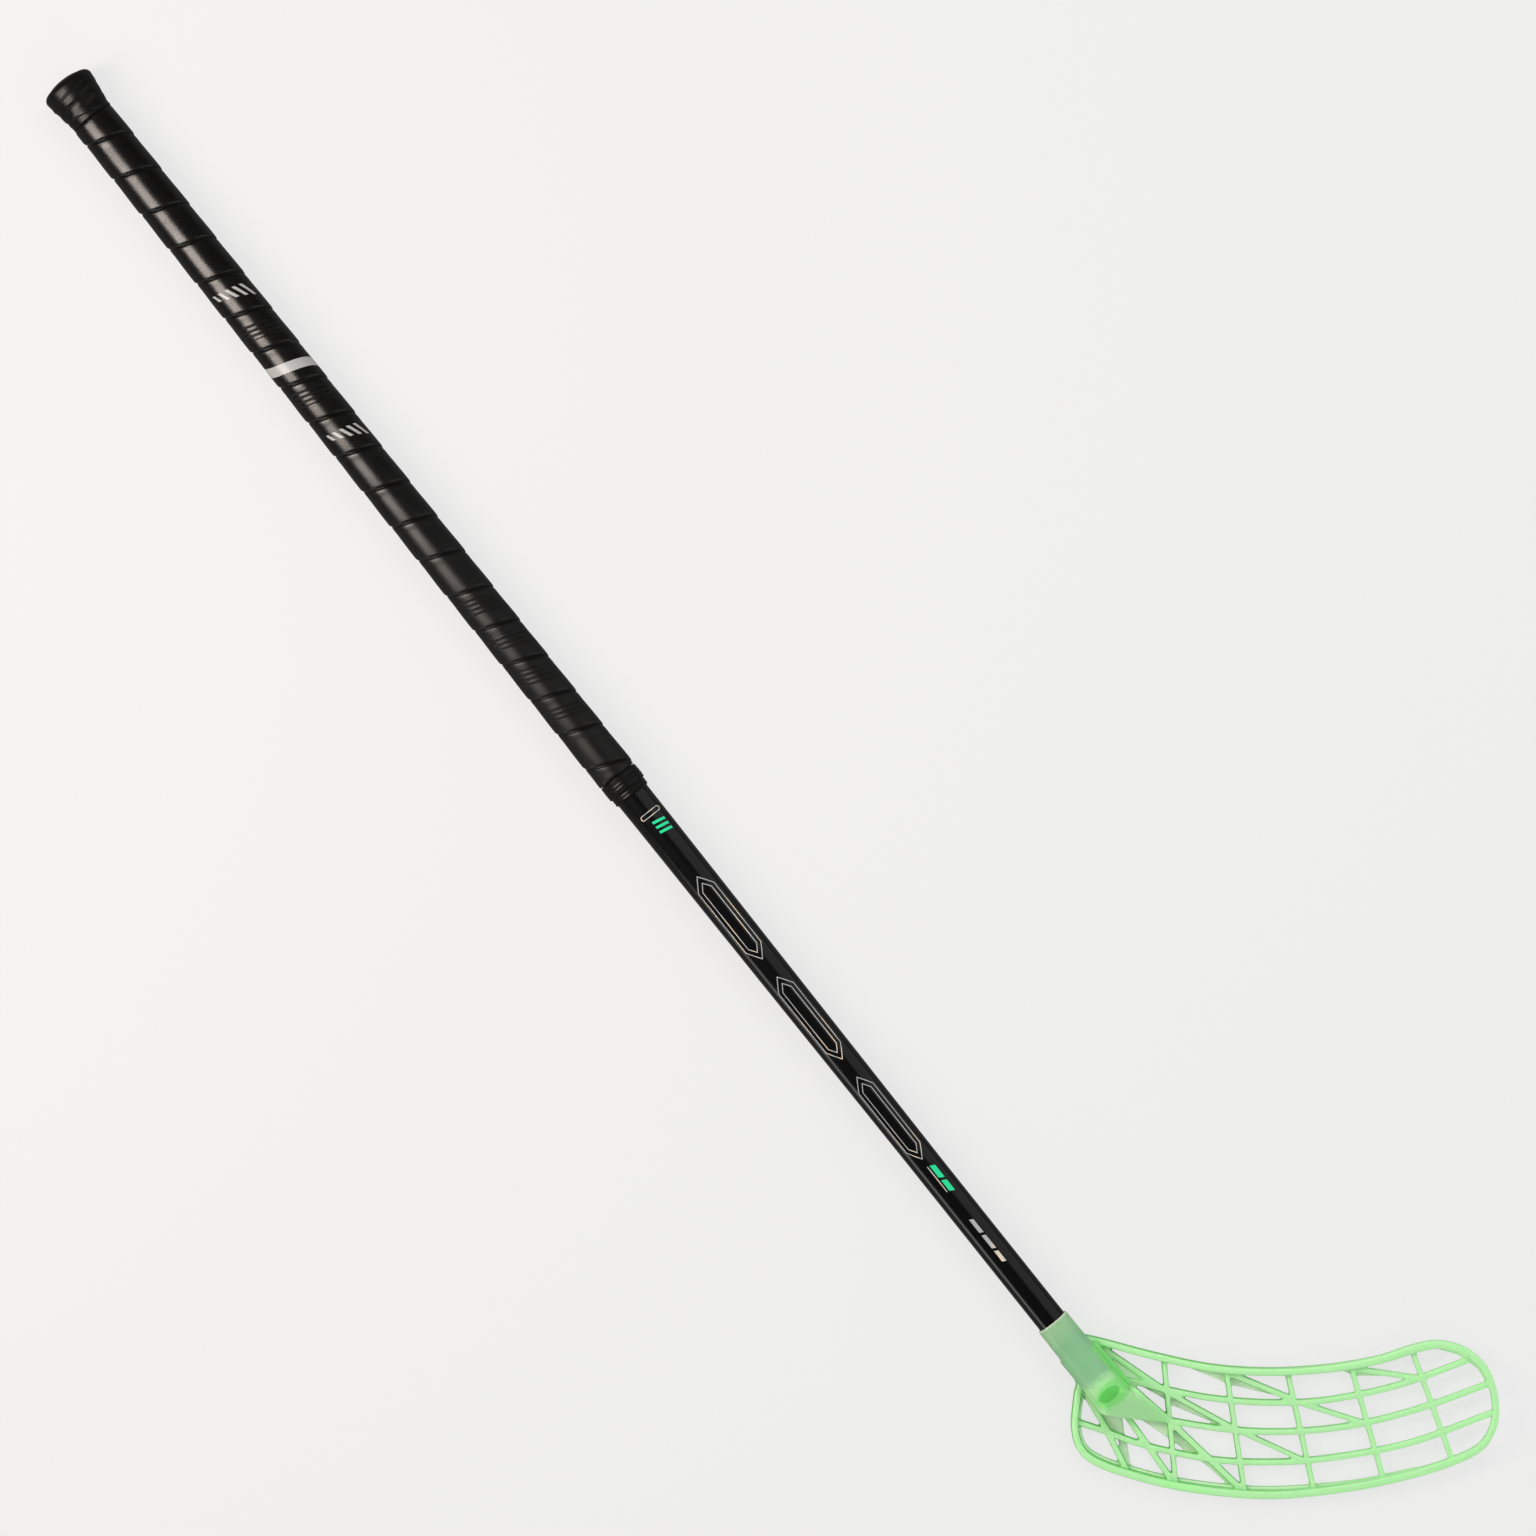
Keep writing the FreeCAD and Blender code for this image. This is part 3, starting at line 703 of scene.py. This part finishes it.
# the rim's outer edge and its width there
rimTop = [(8, -4.4, 4.4), (30, -9.3, 4.3), (60, -17.2, 4.4), (95, -24.5, 4.6), (130, -26.8, 4.7),
          (165, -24.7, 4.8), (195, -19.4, 5.0), (215, -12.8, 5.2)]
rimCorner = [(231, -9.6, 5.2), (247.3, -13.4, 5.0), (259.5, -23, 4.6), (265.6, -36, 4.1)]
rimToe = [(267.8, -51, 3.9), (265.8, -63.3, 4.0), (259.6, -74, 4.4), (246.8, -82.3, 4.8)]
rimSole = [(220, -92, 5.0), (180, -101, 5.0), (130, -106, 5.2), (80, -101.6, 5.2), (45, -93.4, 5.2),
           (25, -86, 5.0), (14.5, -77.5, 4.6), (10.3, -64, 4.2), (11, -50, 4.2)]
rimHeel = [(13, -38, 4.4), (18, -30, 4.4)]
heelLip = [(5.4, -20.6), (11.4, -28), (17.2, -35)]

uprights = [
    [(66.3, -21), (73.5, -97)],
    [(104.2, -29), (114.9, -100)],
    [(141, -29), (157.2, -101)],
    [(179.8, -27), (199.3, -95)],
    [(215.8, -15), (239.8, -81)],
]
courses = [
    [(38, -32.4), (67, -39.8), (97, -45.5), (130, -48), (165, -46.3), (208, -37), (252, -20.5)],
    [(30, -52.5), (50, -55.6), (72, -59.2), (100, -63.6), (130, -65.6), (160, -64.3), (190, -59.6),
     (225, -49.6), (262, -35.6)],
    [(12.5, -59.2), (30, -65), (50, -72.3), (72, -78), (97, -82.5), (125, -84), (160, -82.2), (213, -72.4),
     (265, -52.8)],
]
braces = [  # a line, and what its width has over the others
    ([(26, -12.6), (67, -40.8)], 0.0),
    ([(70, -42.4), (107.7, -63.1)], -0.4),
    ([(112, -65.1), (151.8, -83.3)], -0.6),
    ([(97, -26.5), (145, -46.3)], 0.0),
    ([(150, -48.5), (187, -60.1)], -0.4),
    ([(178, -27), (222, -33)], -0.3),
    ([(69.7, -58.9), (112.1, -99.3)], 0.3),
    ([(42.5, -54), (71, -94.5)], 0.2),
    ([(13.8, -34), (32.3, -65)], 0.0),
    ([(31.4, -64), (44.4, -90)], 0.0),
]
webs = [
    [(49, -36), (68, -40.5), (68, -46.7)],
    [(69, -42), (101, -59.5), (98, -61), (69, -48.8)],
    [(72, -23), (105, -29.5), (105, -36.8)],
    [(104.5, -31), (139, -45), (104.5, -36.9)],
    [(47, -54.7), (70.5, -59.5), (70.5, -70.6)],
    [(71, -62), (88, -79), (80.5, -77.8), (71, -70.8)],
    [(87.5, -82.3), (95, -83.5), (110, -99), (104.5, -97)],
    [(28, -52), (41, -54), (43, -70), (34, -66)],
    [(38.5, -69.5), (44, -71.5), (46.9, -88.5), (43, -86)],
    [(170, -27), (208, -31.6), (182, -31.9)],
]
pocket = [(24, -11), (33, -15.5), (57, -35), (44, -33)]
shoulder = [(19.5, -10.5), (25, -10.8), (46, -34.8), (41.5, -38.5)]


def hookRise(u, rise):  # an arc that starts flat and has risen this far at the toe
    b = bladeSizes
    run = np.clip(u - b["hookStart"], 0, None)
    radius = (b["hookRun"] ** 2 + rise ** 2) / (2 * rise)
    return radius - np.sqrt(radius ** 2 - run ** 2)


def backOf(u):
    return bladeSizes["back"] + hookRise(u, bladeSizes["hook"])


def frontOf(u, depths):
    deep, toe = depths
    return bladeSizes["back"] + deep + hookRise(u, bladeSizes["hook"] + toe - deep)


def toStick(points):  # blade drawing to the stick's frame
    b = bladeSizes
    u, v, z = points[..., 0], points[..., 1], points[..., 2]
    c, s = math.cos(b["lie"]), math.sin(b["lie"])
    return np.stack([b["mouth"] + u * c - v * s, u * s + v * c, z], axis=-1)


def fromShaft(along, across, z):  # way along and across the shaft to the blade's drawing
    c, s = math.cos(bladeSizes["lie"]), math.sin(bladeSizes["lie"])
    return np.stack([along * c + across * s, across * c - along * s, z], axis=-1)


def throughPoints(points, steps=10):  # Catmull-Rom curve through the points
    p = np.asarray(points, float)
    if len(p) == 2:
        t = np.linspace(0, 1, steps * 2 + 1)[:, None]
        return p[0] * (1 - t) + p[1] * t
    p = np.concatenate([2 * p[:1] - p[1:2], p, 2 * p[-1:] - p[-2:-1]])
    t = np.linspace(0, 1, steps, endpoint=False)[None, :, None]
    a, b, c, d = (p[k:len(p) - 3 + k][:, None, :] for k in range(4))
    square = (2 * a - 5 * b + 4 * c - d) * t ** 2
    cube = (3 * b - a - 3 * c + d) * t ** 3
    curve = 0.5 * (2 * b + (c - a) * t + square + cube)
    return np.concatenate([curve.reshape(-1, p.shape[1]), p[-2:-1]])


def rightOf(path):
    along = np.gradient(path[:, :2], axis=0)
    along /= np.linalg.norm(along, axis=1, keepdims=True)
    return np.stack([along[:, 1], -along[:, 0]], axis=-1)


class Heap:  # closed shells gathered into one mesh
    def __init__(self):
        self.verts = []
        self.faces = []
        self.count = 0

    def add(self, verts, faces):
        self.verts.append(np.asarray(verts, float).reshape(-1, 3))
        self.faces += [[i + self.count for i in face] for face in faces]
        self.count += len(self.verts[-1])


def tubeFaces(rows, columns):  # a grid closed into a ring, with both ends shut
    last = (rows - 1) * columns
    ends = [list(range(columns))[::-1], list(range(last, last + columns))]
    return gridFaces(rows, columns).tolist() + ends


def addBar(heap, path, half, low, high, points=20):
    # a rounded oblong, |s| ** squareness + |h| ** squareness = 1, carried along the path
    b = bladeSizes
    swing = ringAngles(points)
    side = np.sign(np.cos(swing)) * np.abs(np.cos(swing)) ** (2 / b["squareness"])
    rise = np.sign(np.sin(swing)) * np.abs(np.sin(swing)) ** (2 / b["squareness"])
    half, low, high = (np.broadcast_to(np.asarray(v, float), len(path))[:, None] for v in (half, low, high))
    reach = half * (side * (1 - b["draft"] * rise))
    flat = path[:, None, :2] + rightOf(path)[:, None, :] * reach[..., None]
    z = (low + high) / 2 + (high - low) / 2 * rise
    heap.add(np.concatenate([flat, z[..., None]], axis=-1), tubeFaces(len(path), points))


def addFlatBar(heap, path, half, depths):  # a bar that lies on the blade's back
    addBar(heap, path, half, backOf(path[:, 0]), frontOf(path[:, 0], depths))


def addPlate(heap, corners, depths):  # a flat cornered web that lies on the back
    flat = np.asarray(corners, float)
    count = len(flat)
    low = np.column_stack([flat, backOf(flat[:, 0])])
    high = np.column_stack([flat, frontOf(flat[:, 0], depths)])
    heap.add(np.concatenate([low, high]), tubeFaces(2, count))


def addLedge(heap, edge, reach):  # a low step inside the rim
    b = bladeSizes
    path = edge[:, :2] + rightOf(edge) * (edge[:, 2:] + reach / 2 - b["overlap"])
    addFlatBar(heap, path, reach[:, 0] / 2 + b["overlap"], b["flange"])


def addRim(heap):
    b = bladeSizes
    rim = throughPoints(rimTop + rimCorner + rimToe + rimSole + rimHeel)
    middle = rim[:, :2] + rightOf(rim) * rim[:, 2:] / 2
    addFlatBar(heap, middle, rim[:, 2] / 2, b["rim"])
    sole = throughPoints(rimSole + rimHeel[:1])
    fade = smoothStep(*b["flangeFade"], sole[:, :1])
    addLedge(heap, sole, b["flangeWidth"] * (1 - b["flangeLoss"] * fade))
    corner = throughPoints(rimCorner)
    addLedge(heap, corner, b["toeLedge"] * np.sin(np.pi * np.linspace(0, 1, len(corner)))[:, None])


def addLattice(heap):
    b = bladeSizes
    lines = [(line, b["upright"]) for line in uprights] + [(line, b["course"]) for line in courses]
    lines += [(line, b["brace"] + extra) for line, extra in braces]
    for line, width in lines:
        addFlatBar(heap, throughPoints(line), width / 2, b["rib"])
    lip = throughPoints(heelLip, steps=8)
    climb = np.linspace(1, 0, len(lip)) * b["lipRise"]
    addBar(heap, lip, b["lipHalf"], b["back"] + climb * b["lipHollow"], b["back"] + b["rim"][0] + climb)
    for corners in webs:
        addPlate(heap, corners, b["web"])
    addPlate(heap, pocket, b["pocket"])
    addPlate(heap, shoulder, b["shoulder"])


def addSocket(heap):
    # r(way along the shaft): a sleeve that swells a little, rounded at its closed end, and its bore
    b = bladeSizes
    up, mouth, radius = -b["collarUp"], b["mouthRadius"], b["socketRadius"]
    edge = (up, b["bore"] + b["mouthEdge"])
    profile = [edge, (up, mouth - 0.3), (up + b["mouthEdge"], mouth), (6, mouth + 0.05), (17, mouth + 0.2)]
    profile += [(25, radius), (36, radius), (50, radius), (53, 10.4), (55.5, 9.0), (57, 7.0), (57.5, 0.0)]
    profile += [(b["boreEnd"], 0.0), (b["boreEnd"], b["bore"]), (25, b["bore"])]
    profile += [(up + 0.6, b["bore"]), edge]
    along, radii = np.transpose(profile)
    ring = turned(along, radii, b["socketColumns"])
    heap.add(fromShaft(*ring.T), gridFaces(len(along), b["socketColumns"]).tolist())


tongueSizes = {
    "left": [(38, -8.0), (48, -11.6), (59, -11.4), (72.5, 0.5), (91, 17.6)],  # along and across the shaft
    "right": [(38, 8.0), (44, 11.0), (55, 12.0), (60, 14.6), (85.4, 18.9), (91, 18.6)],
    "slopeStart": 51.0,
    "slopeEnd": 90.0,
    "flatBy": 17.0,
    "wall": 2.3,
    "wallDrop": 0.2,  # how far a side wall stays below the top
    "wallFrom": 6,  # first row that has side walls
    "rows": 70,
    "columns": 30,
}


def tongueTop(along, across):  # the socket's round that turns into a flat slope down to the ribs
    t = tongueSizes
    radius = bladeSizes["socketRadius"]
    ribFront = bladeSizes["back"] + bladeSizes["rib"][0]
    share = np.clip((along - t["slopeStart"]) / (t["slopeEnd"] - t["slopeStart"]), 0, 1)
    slope = radius + (ribFront - radius) * share
    roundTop = np.sqrt(np.clip(radius ** 2 - across ** 2, 0, None))
    flat = smoothStep(0, t["flatBy"], along - t["slopeStart"])
    return np.minimum(slope, roundTop * (1 - flat) + slope * flat)


def addTongue(heap):
    # z(along, across) = the tongue's top between its two outlines, and the same less the wall
    t = tongueSizes
    along = np.linspace(t["left"][0][0], t["left"][-1][0], t["rows"])[:, None]
    left = np.interp(along, *np.transpose(t["left"]))
    right = np.interp(along, *np.transpose(t["right"]))
    across = left + (right - left) * np.linspace(0, 1, t["columns"])[None, :]
    top = tongueTop(along, across)
    low = np.maximum(top - t["wall"], bladeSizes["back"])
    way = along + 0 * across
    loop = np.concatenate([fromShaft(way, across, top), fromShaft(way, across, low)[:, ::-1]], axis=1)
    heap.add(loop, tubeFaces(t["rows"], 2 * t["columns"]))
    for edge, inward in ((left, 1), (right, -1)):  # side walls down to the back
        a = along[t["wallFrom"]:, 0]
        b = edge[t["wallFrom"]:, 0] + inward * t["wall"] / 2
        path = fromShaft(a, b, 0 * a)
        addBar(heap, path, t["wall"] / 2, bladeSizes["back"], tongueTop(a, b) - t["wallDrop"])


def shownMesh(piece):  # its mesh with the modifiers applied
    graph = bpy.context.evaluated_depsgraph_get()
    return bpy.data.meshes.new_from_object(piece.evaluated_get(graph), depsgraph=graph)


def makeBlade(material):
    b = bladeSizes
    heap = Heap()
    addRim(heap)
    addLattice(heap)
    addSocket(heap)
    addTongue(heap)
    verts = toStick(np.concatenate(heap.verts))
    rough = makePiece("bladeDraft", verts, heap.faces, "blade_moulding", material)
    tidyMesh(rough.data, b["draftGap"])
    # one skin over all the bars, its steps smoothed and flat runs thinned
    skin = rough.modifiers.new("skin", "REMESH")
    skin.mode = "VOXEL"
    skin.voxel_size = b["voxel"] * mm
    skin.use_smooth_shade = True
    soften = rough.modifiers.new("soften", "SMOOTH")
    soften.factor = b["softness"]
    soften.iterations = b["softRounds"]
    skinned = shownMesh(rough)
    triangles = 2 * len(skinned.polygons)
    thin = rough.modifiers.new("thin", "DECIMATE")
    thin.ratio = min(1.0, b["keptTriangles"] / triangles)
    final = shownMesh(rough)
    final.name = "bladeMoulding"
    shadeSmooth(final)
    piece = bpy.data.objects.new("bladeMoulding", final)
    bpy.context.scene.collection.objects.link(piece)
    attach(piece, "blade_moulding")
    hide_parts("blade")
    bpy.data.objects.remove(rough)
    bpy.data.meshes.remove(skinned)
    print("blade skin:", triangles, "triangles, kept", len(final.polygons))


bladeFinish = {
    "face": srgb(181, 232, 175),
    # darker green: painted shade on the walls, also the darker tone of the random mottle
    "wall": srgb(122, 209, 114),
    # paler green: painted light on what lies low, the tone of the painted glow, and the mouth's edge
    "web": srgb(204, 231, 197),
    "mouth": srgb(150, 200, 148),
    "overShaft": srgb(137, 191, 146),
    "tongue": srgb(173, 238, 166),
    # deep greens of painted shade: the closed end of the bore, and the socket's side
    "hollow": srgb(94, 196, 88),
    "side": srgb(126, 222, 118),
    "rough": 0.34,
    "steep": (0.25, 0.85),  # how far a wall and a level face look up
    "level": (0.5, 0.9),
    "wallShadeShare": 0.95,  # of the painted wall shade at the heel, and what it loses to the toe
    "wallShadeLoss": 0.9,
    "toToe": (60, 240),
    "lowDepth": (4.15, 4.75),  # webs and ledges lie lower than this over the back
    "pocketZ": (-11.1, 0.7, 0.2),  # middle, half and fade
    "pocketY": (20.5, 8.5, 1.0),
    "pocketX": (999, 17, 2.0),
    "tongueZ": (-8.9, -7.4),
    "tongueY": (4, 17, 1.5),
    "tongueX": (1003, 1008),
    "tongueEnd": (1048, 1052),
    "sleeveRadius": (11.3, 12.4),
    "sleeveZ": (-9, -5),
    "shaftEnd": (998.5, 1006.0),  # the shaft shows through as far as this
    "mouthEnd": (963, 976),
    "lipWidth": (0.9, 1.7),
    "sideY": (12.2, 3.0, 0.9),
    "sideX": (999.5, 17.5, 2.0),
    "sideZ": (-8.5, -5.5),
    "sideFrom": 1000.0,  # where it starts to lean off the shaft's line
    "sideLean": 0.04,
    "hollowSpot": (1010.6, 3.8, -0.4, 7.4, 0.75, 1.2),  # x and half, y and half, fade
    "linkSpot": (1011.6, 7.5, 2.4, 13.0, 0.6, 1.3),
    "spotZ": (-6, -3),
    "paintedLowGlow": 0.10,  # painted glow, standing in for light that comes through thin plastic
    "paintedWallGlow": 0.12,
}


def makeBladeFinish():
    f = bladeFinish
    b = bladeSizes
    material, shader, cells = newFinish("mouldedGreen")
    x, y, z = axesOf(cells)
    upward = axesOf(cells.node("TexCoord", out="Normal"))[2]
    broad = cells.noise(scale=0.05)
    fine = cells.noise(scale=1.1)

    def spot(middleX, halfX, middleY, halfY, low, high):  # an oval on the socket's upper side
        ahead = (x - middleX) / halfX
        aside = (y - middleY) / halfY
        return (1 - (ahead * ahead + aside * aside).between(low, high)) * z.between(*f["spotZ"])

    # faces, walls, and what lies low between them: painted shade on the walls, strongest at the heel and
    # fading to the toe, and a paler painted tone on what lies low
    steep = 1 - abs(upward).between(*f["steep"])
    level = upward.between(*f["level"])
    toeward = (x - b["mouth"]) * math.cos(b["lie"]) + y * math.sin(b["lie"])
    atToe = toeward.between(*f["toToe"])
    # painted shade: walls take the darker green, most at the heel and less towards the toe
    colour = (steep * (f["wallShadeShare"] - atToe * f["wallShadeLoss"])).tint(f["face"], f["wall"])
    run = (toeward - b["hookStart"]).atLeast(0.0)
    depth = z - b["back"] - run * run * (b["hook"] / b["hookRun"] ** 2)
    pocketMask = z.within(*f["pocketZ"]) * level * y.within(*f["pocketY"]) * x.within(*f["pocketX"])
    low = ((1 - depth.between(*f["lowDepth"])) * level).atLeast(pocketMask)
    # painted light: level faces that lie low, and the pocket, take the paler green
    colour = (low * 0.9).tint(colour, f["web"])
    tongue = z.between(*f["tongueZ"]) * x.between(*f["tongueX"]) * (1 - x.between(*f["tongueEnd"]))
    colour = (tongue * y.within(*f["tongueY"])).tint(colour, f["tongue"])
    # the sleeve, duller where the shaft shows through
    offAxis = (y * y + z * z).math("SQRT")
    sleeve = (1 - offAxis.between(*f["sleeveRadius"])) * z.between(*f["sleeveZ"])
    mottled = x + cells.noise(scale=0.35) * 5.0
    overShaft = sleeve * (1 - mottled.between(*f["shaftEnd"]))
    lipStart, lipEnd = (b["mouth"] - b["collarUp"] + v for v in f["lipWidth"])
    colour = (sleeve - overShaft).atLeast(0.0).tint(colour, f["tongue"])
    sleeveTone = mottled.between(*f["mouthEnd"]).tint(f["mouth"], f["overShaft"])
    colour = (overShaft * (0.86 + broad * 0.28)).upTo(1.0).tint(colour, sleeveTone)
    colour = (sleeve * (1 - x.between(lipStart, lipEnd)) * 0.7).tint(colour, f["web"])
    # painted shade in deep green: the closed end of the bore, the socket's shoulder
    sideways = y - (x - f["sideFrom"]) * f["sideLean"]
    side = sideways.within(*f["sideY"]) * x.within(*f["sideX"]) * z.between(*f["sideZ"])
    colour = (side.atLeast(spot(*f["linkSpot"]) * 0.85) * 0.9).tint(colour, f["side"])
    colour = (spot(*f["hollowSpot"]) * 0.9).tint(colour, f["hollow"])
    colour = ((broad - 0.5) * 0.12 + 0.06).atLeast(0.0).tint(colour, f["wall"])
    # painted glow, standing in for light through thin plastic: the low webs and ledges, and the walls
    # towards the toe
    glow = low * f["paintedLowGlow"] + steep * atToe * f["paintedWallGlow"]
    feed(shader, Base_Color=colour, Roughness=f["rough"] + (fine - 0.5) * 0.1 + (broad - 0.5) * 0.1)
    feed(shader, Normal=fine.bump(0.00002, 0.4), IOR=1.47)
    feed(shader, Emission_Color=glow.tint((0, 0, 0), f["web"]), Emission_Strength=1.0)
    feed(shader, Subsurface_Weight=0.9, Subsurface_Radius=(0.7, 1.0, 0.65), Subsurface_Scale=0.006)
    return material


# build it all

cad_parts["shaft_tube"].data.materials.clear()
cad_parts["shaft_tube"].data.materials.append(makeShaftFinish())
print("shaft finished")
makeGripBand(makeGripFinish())
makeCushion(makeCushionFinish())
makeCollar(makeCollarFinish())
makeCap(makeCapFinish())
print("grip, cap and collar built")
makeBlade(makeBladeFinish())


# floor, light and camera

stageSizes = {
    "floor": 24.0,
    "floorMiddle": 0.6,
    "floorLevel": -16.78 * mm,  # what the stick lies on
    "pale": srgb(236, 236, 236),
    "ownLight": 0.85,  # share of the floor's look that its colour gives without shadow
    "mirrored": 0.20,  # what shiny pieces see of it
    "fill": 0.40,  # light from all round, and what shiny pieces see of that
    "fillMirrored": 0.03,
    "middle": (0.58841, 0.07407),
    "height": 3.27,
    "view": 0.9258,
    "turn": math.radians(51.43),
    "sensor": 36.0,
    "clip": (0.05, 50.0),
}


def makeFloor():
    s = stageSizes
    half = s["floor"] / 2
    mesh = bpy.data.meshes.new("floor")
    corners = [(-half, -half), (half, -half), (half, half), (-half, half)]
    verts = [(a + s["floorMiddle"], b, s["floorLevel"]) for a, b in corners]
    mesh.from_pydata(verts, [], [(0, 1, 2, 3)])
    floor = bpy.data.objects.new("floor", mesh)
    bpy.context.scene.collection.objects.link(floor)
    material = bpy.data.materials.new("paleFloor")
    material.use_nodes = True
    tree = material.node_tree
    shader = tree.nodes["Principled BSDF"]
    feed(shader, Base_Color=(*s["pale"], 1), Roughness=0.9, Specular_IOR_Level=0.0)
    rays = tree.nodes.new("ShaderNodeLightPath").outputs
    seen = Wire(rays["Is Camera Ray"]).atLeast(Wire(rays["Is Transmission Ray"]))
    glossy = Wire(rays["Is Glossy Ray"])
    tone = glossy.tint(s["pale"], [v * s["mirrored"] for v in s["pale"]])
    glow = seen.node("Emission", None, {"Color": tone, "Strength": 1.0})
    share = (seen * s["ownLight"]).atLeast(glossy)
    both = seen.node("MixShader", None, {0: share, 1: Wire(shader.outputs[0]), 2: glow})
    tree.links.new(both.socket, tree.nodes["Material Output"].inputs[0])
    mesh.materials.append(material)


def makeWorld():
    s = stageSizes
    world = bpy.data.worlds.new("studio")
    world.use_nodes = True
    nodes = world.node_tree.nodes
    rays = nodes.new("ShaderNodeLightPath").outputs
    seen = Wire(rays["Is Camera Ray"]).atLeast(Wire(rays["Is Transmission Ray"]))
    strength = seen * (s["pale"][0] - s["fill"])
    strength += Wire(rays["Is Glossy Ray"]) * (s["fillMirrored"] - s["fill"]) + s["fill"]
    feed(nodes["Background"], Color=(1, 1, 1, 1), Strength=strength)
    bpy.context.scene.world = world


def makeLamp(name, place, target, size, glow, tone):
    data = bpy.data.lights.new(name, "AREA")
    data.shape = "RECTANGLE"
    data.size, data.size_y = size
    data.energy = glow * math.pi * size[0] * size[1]
    data.color = tone
    lamp = bpy.data.objects.new(name, data)
    bpy.context.scene.collection.objects.link(lamp)
    way = Vector(target) - Vector(place)
    lamp.location = place
    lamp.rotation_mode = "QUATERNION"
    lamp.rotation_quaternion = way.to_track_quat("-Z", "Y")
    lamp.visible_camera = False
    return lamp


lamps = {  # place, what it faces, width and length, brightness of its surface, tone, how it shows
    "gripBox": ((-0.10, -0.727, 1.078), (-0.10, 0.0, 0.0), (0.38, 1.0), 14.8, (1.0, 0.885, 0.80), "full"),
    "gripBoxLow": ((0.205, -0.727, 1.078), (0.205, 0.0, 0.0), (0.23, 1.0), 1.3, (1.0, 0.96, 0.94), "full"),
    "gripBoxFoot": ((0.42, -0.727, 1.078), (0.42, 0.0, 0.0), (0.20, 1.0), 0.45, (1, 1, 1), "full"),
    "shaftPanel": ((0.97, 1.326, 0.894), (0.97, 0.0, 0.0), (1.26, 2.16), 0.52, (1, 1, 1), "full"),
    "lowPanel": ((0.93, -1.3, 0.24), (0.93, 0.0, 0.02), (0.54, 0.46), 2.4, (1, 1, 1), "mirrored"),
    "toeLamp": ((2.3, 0.85, 1.45), (1.1, 0.06, 0.0), (0.8, 0.8), 2.8, (1, 1, 1), "soft"),
    "heelLamp": ((2.3, -0.75, 1.45), (1.1, 0.06, 0.0), (0.8, 0.8), 2.8, (1, 1, 1), "soft"),
    "crossLamp": ((-0.15, 1.05, 1.9), (1.1, 0.06, 0.0), (1.1, 1.1), 4.0, (1, 1, 1), "soft"),
}


def makeCamera():
    s = stageSizes
    data = bpy.data.cameras.new("camera")
    camera = bpy.data.objects.new("camera", data)
    bpy.context.scene.collection.objects.link(camera)
    camera.location = (*s["middle"], s["height"])
    camera.rotation_euler = (0, 0, s["turn"])
    data.sensor_width = s["sensor"]
    data.lens = s["sensor"] * s["height"] / s["view"]
    data.clip_start, data.clip_end = s["clip"]
    bpy.context.scene.camera = camera


makeFloor()
for name, (place, target, size, glow, tone, shown) in lamps.items():
    lamp = makeLamp(name, place, target, size, glow, tone)
    lamp.visible_diffuse = shown != "mirrored"  # a low panel would leave a bright patch on the floor
    lamp.visible_glossy = shown != "soft"  # the black grip's edges stay dark
makeWorld()
makeCamera()
bpy.context.scene.view_settings.view_transform = "Standard"
print("stage set")
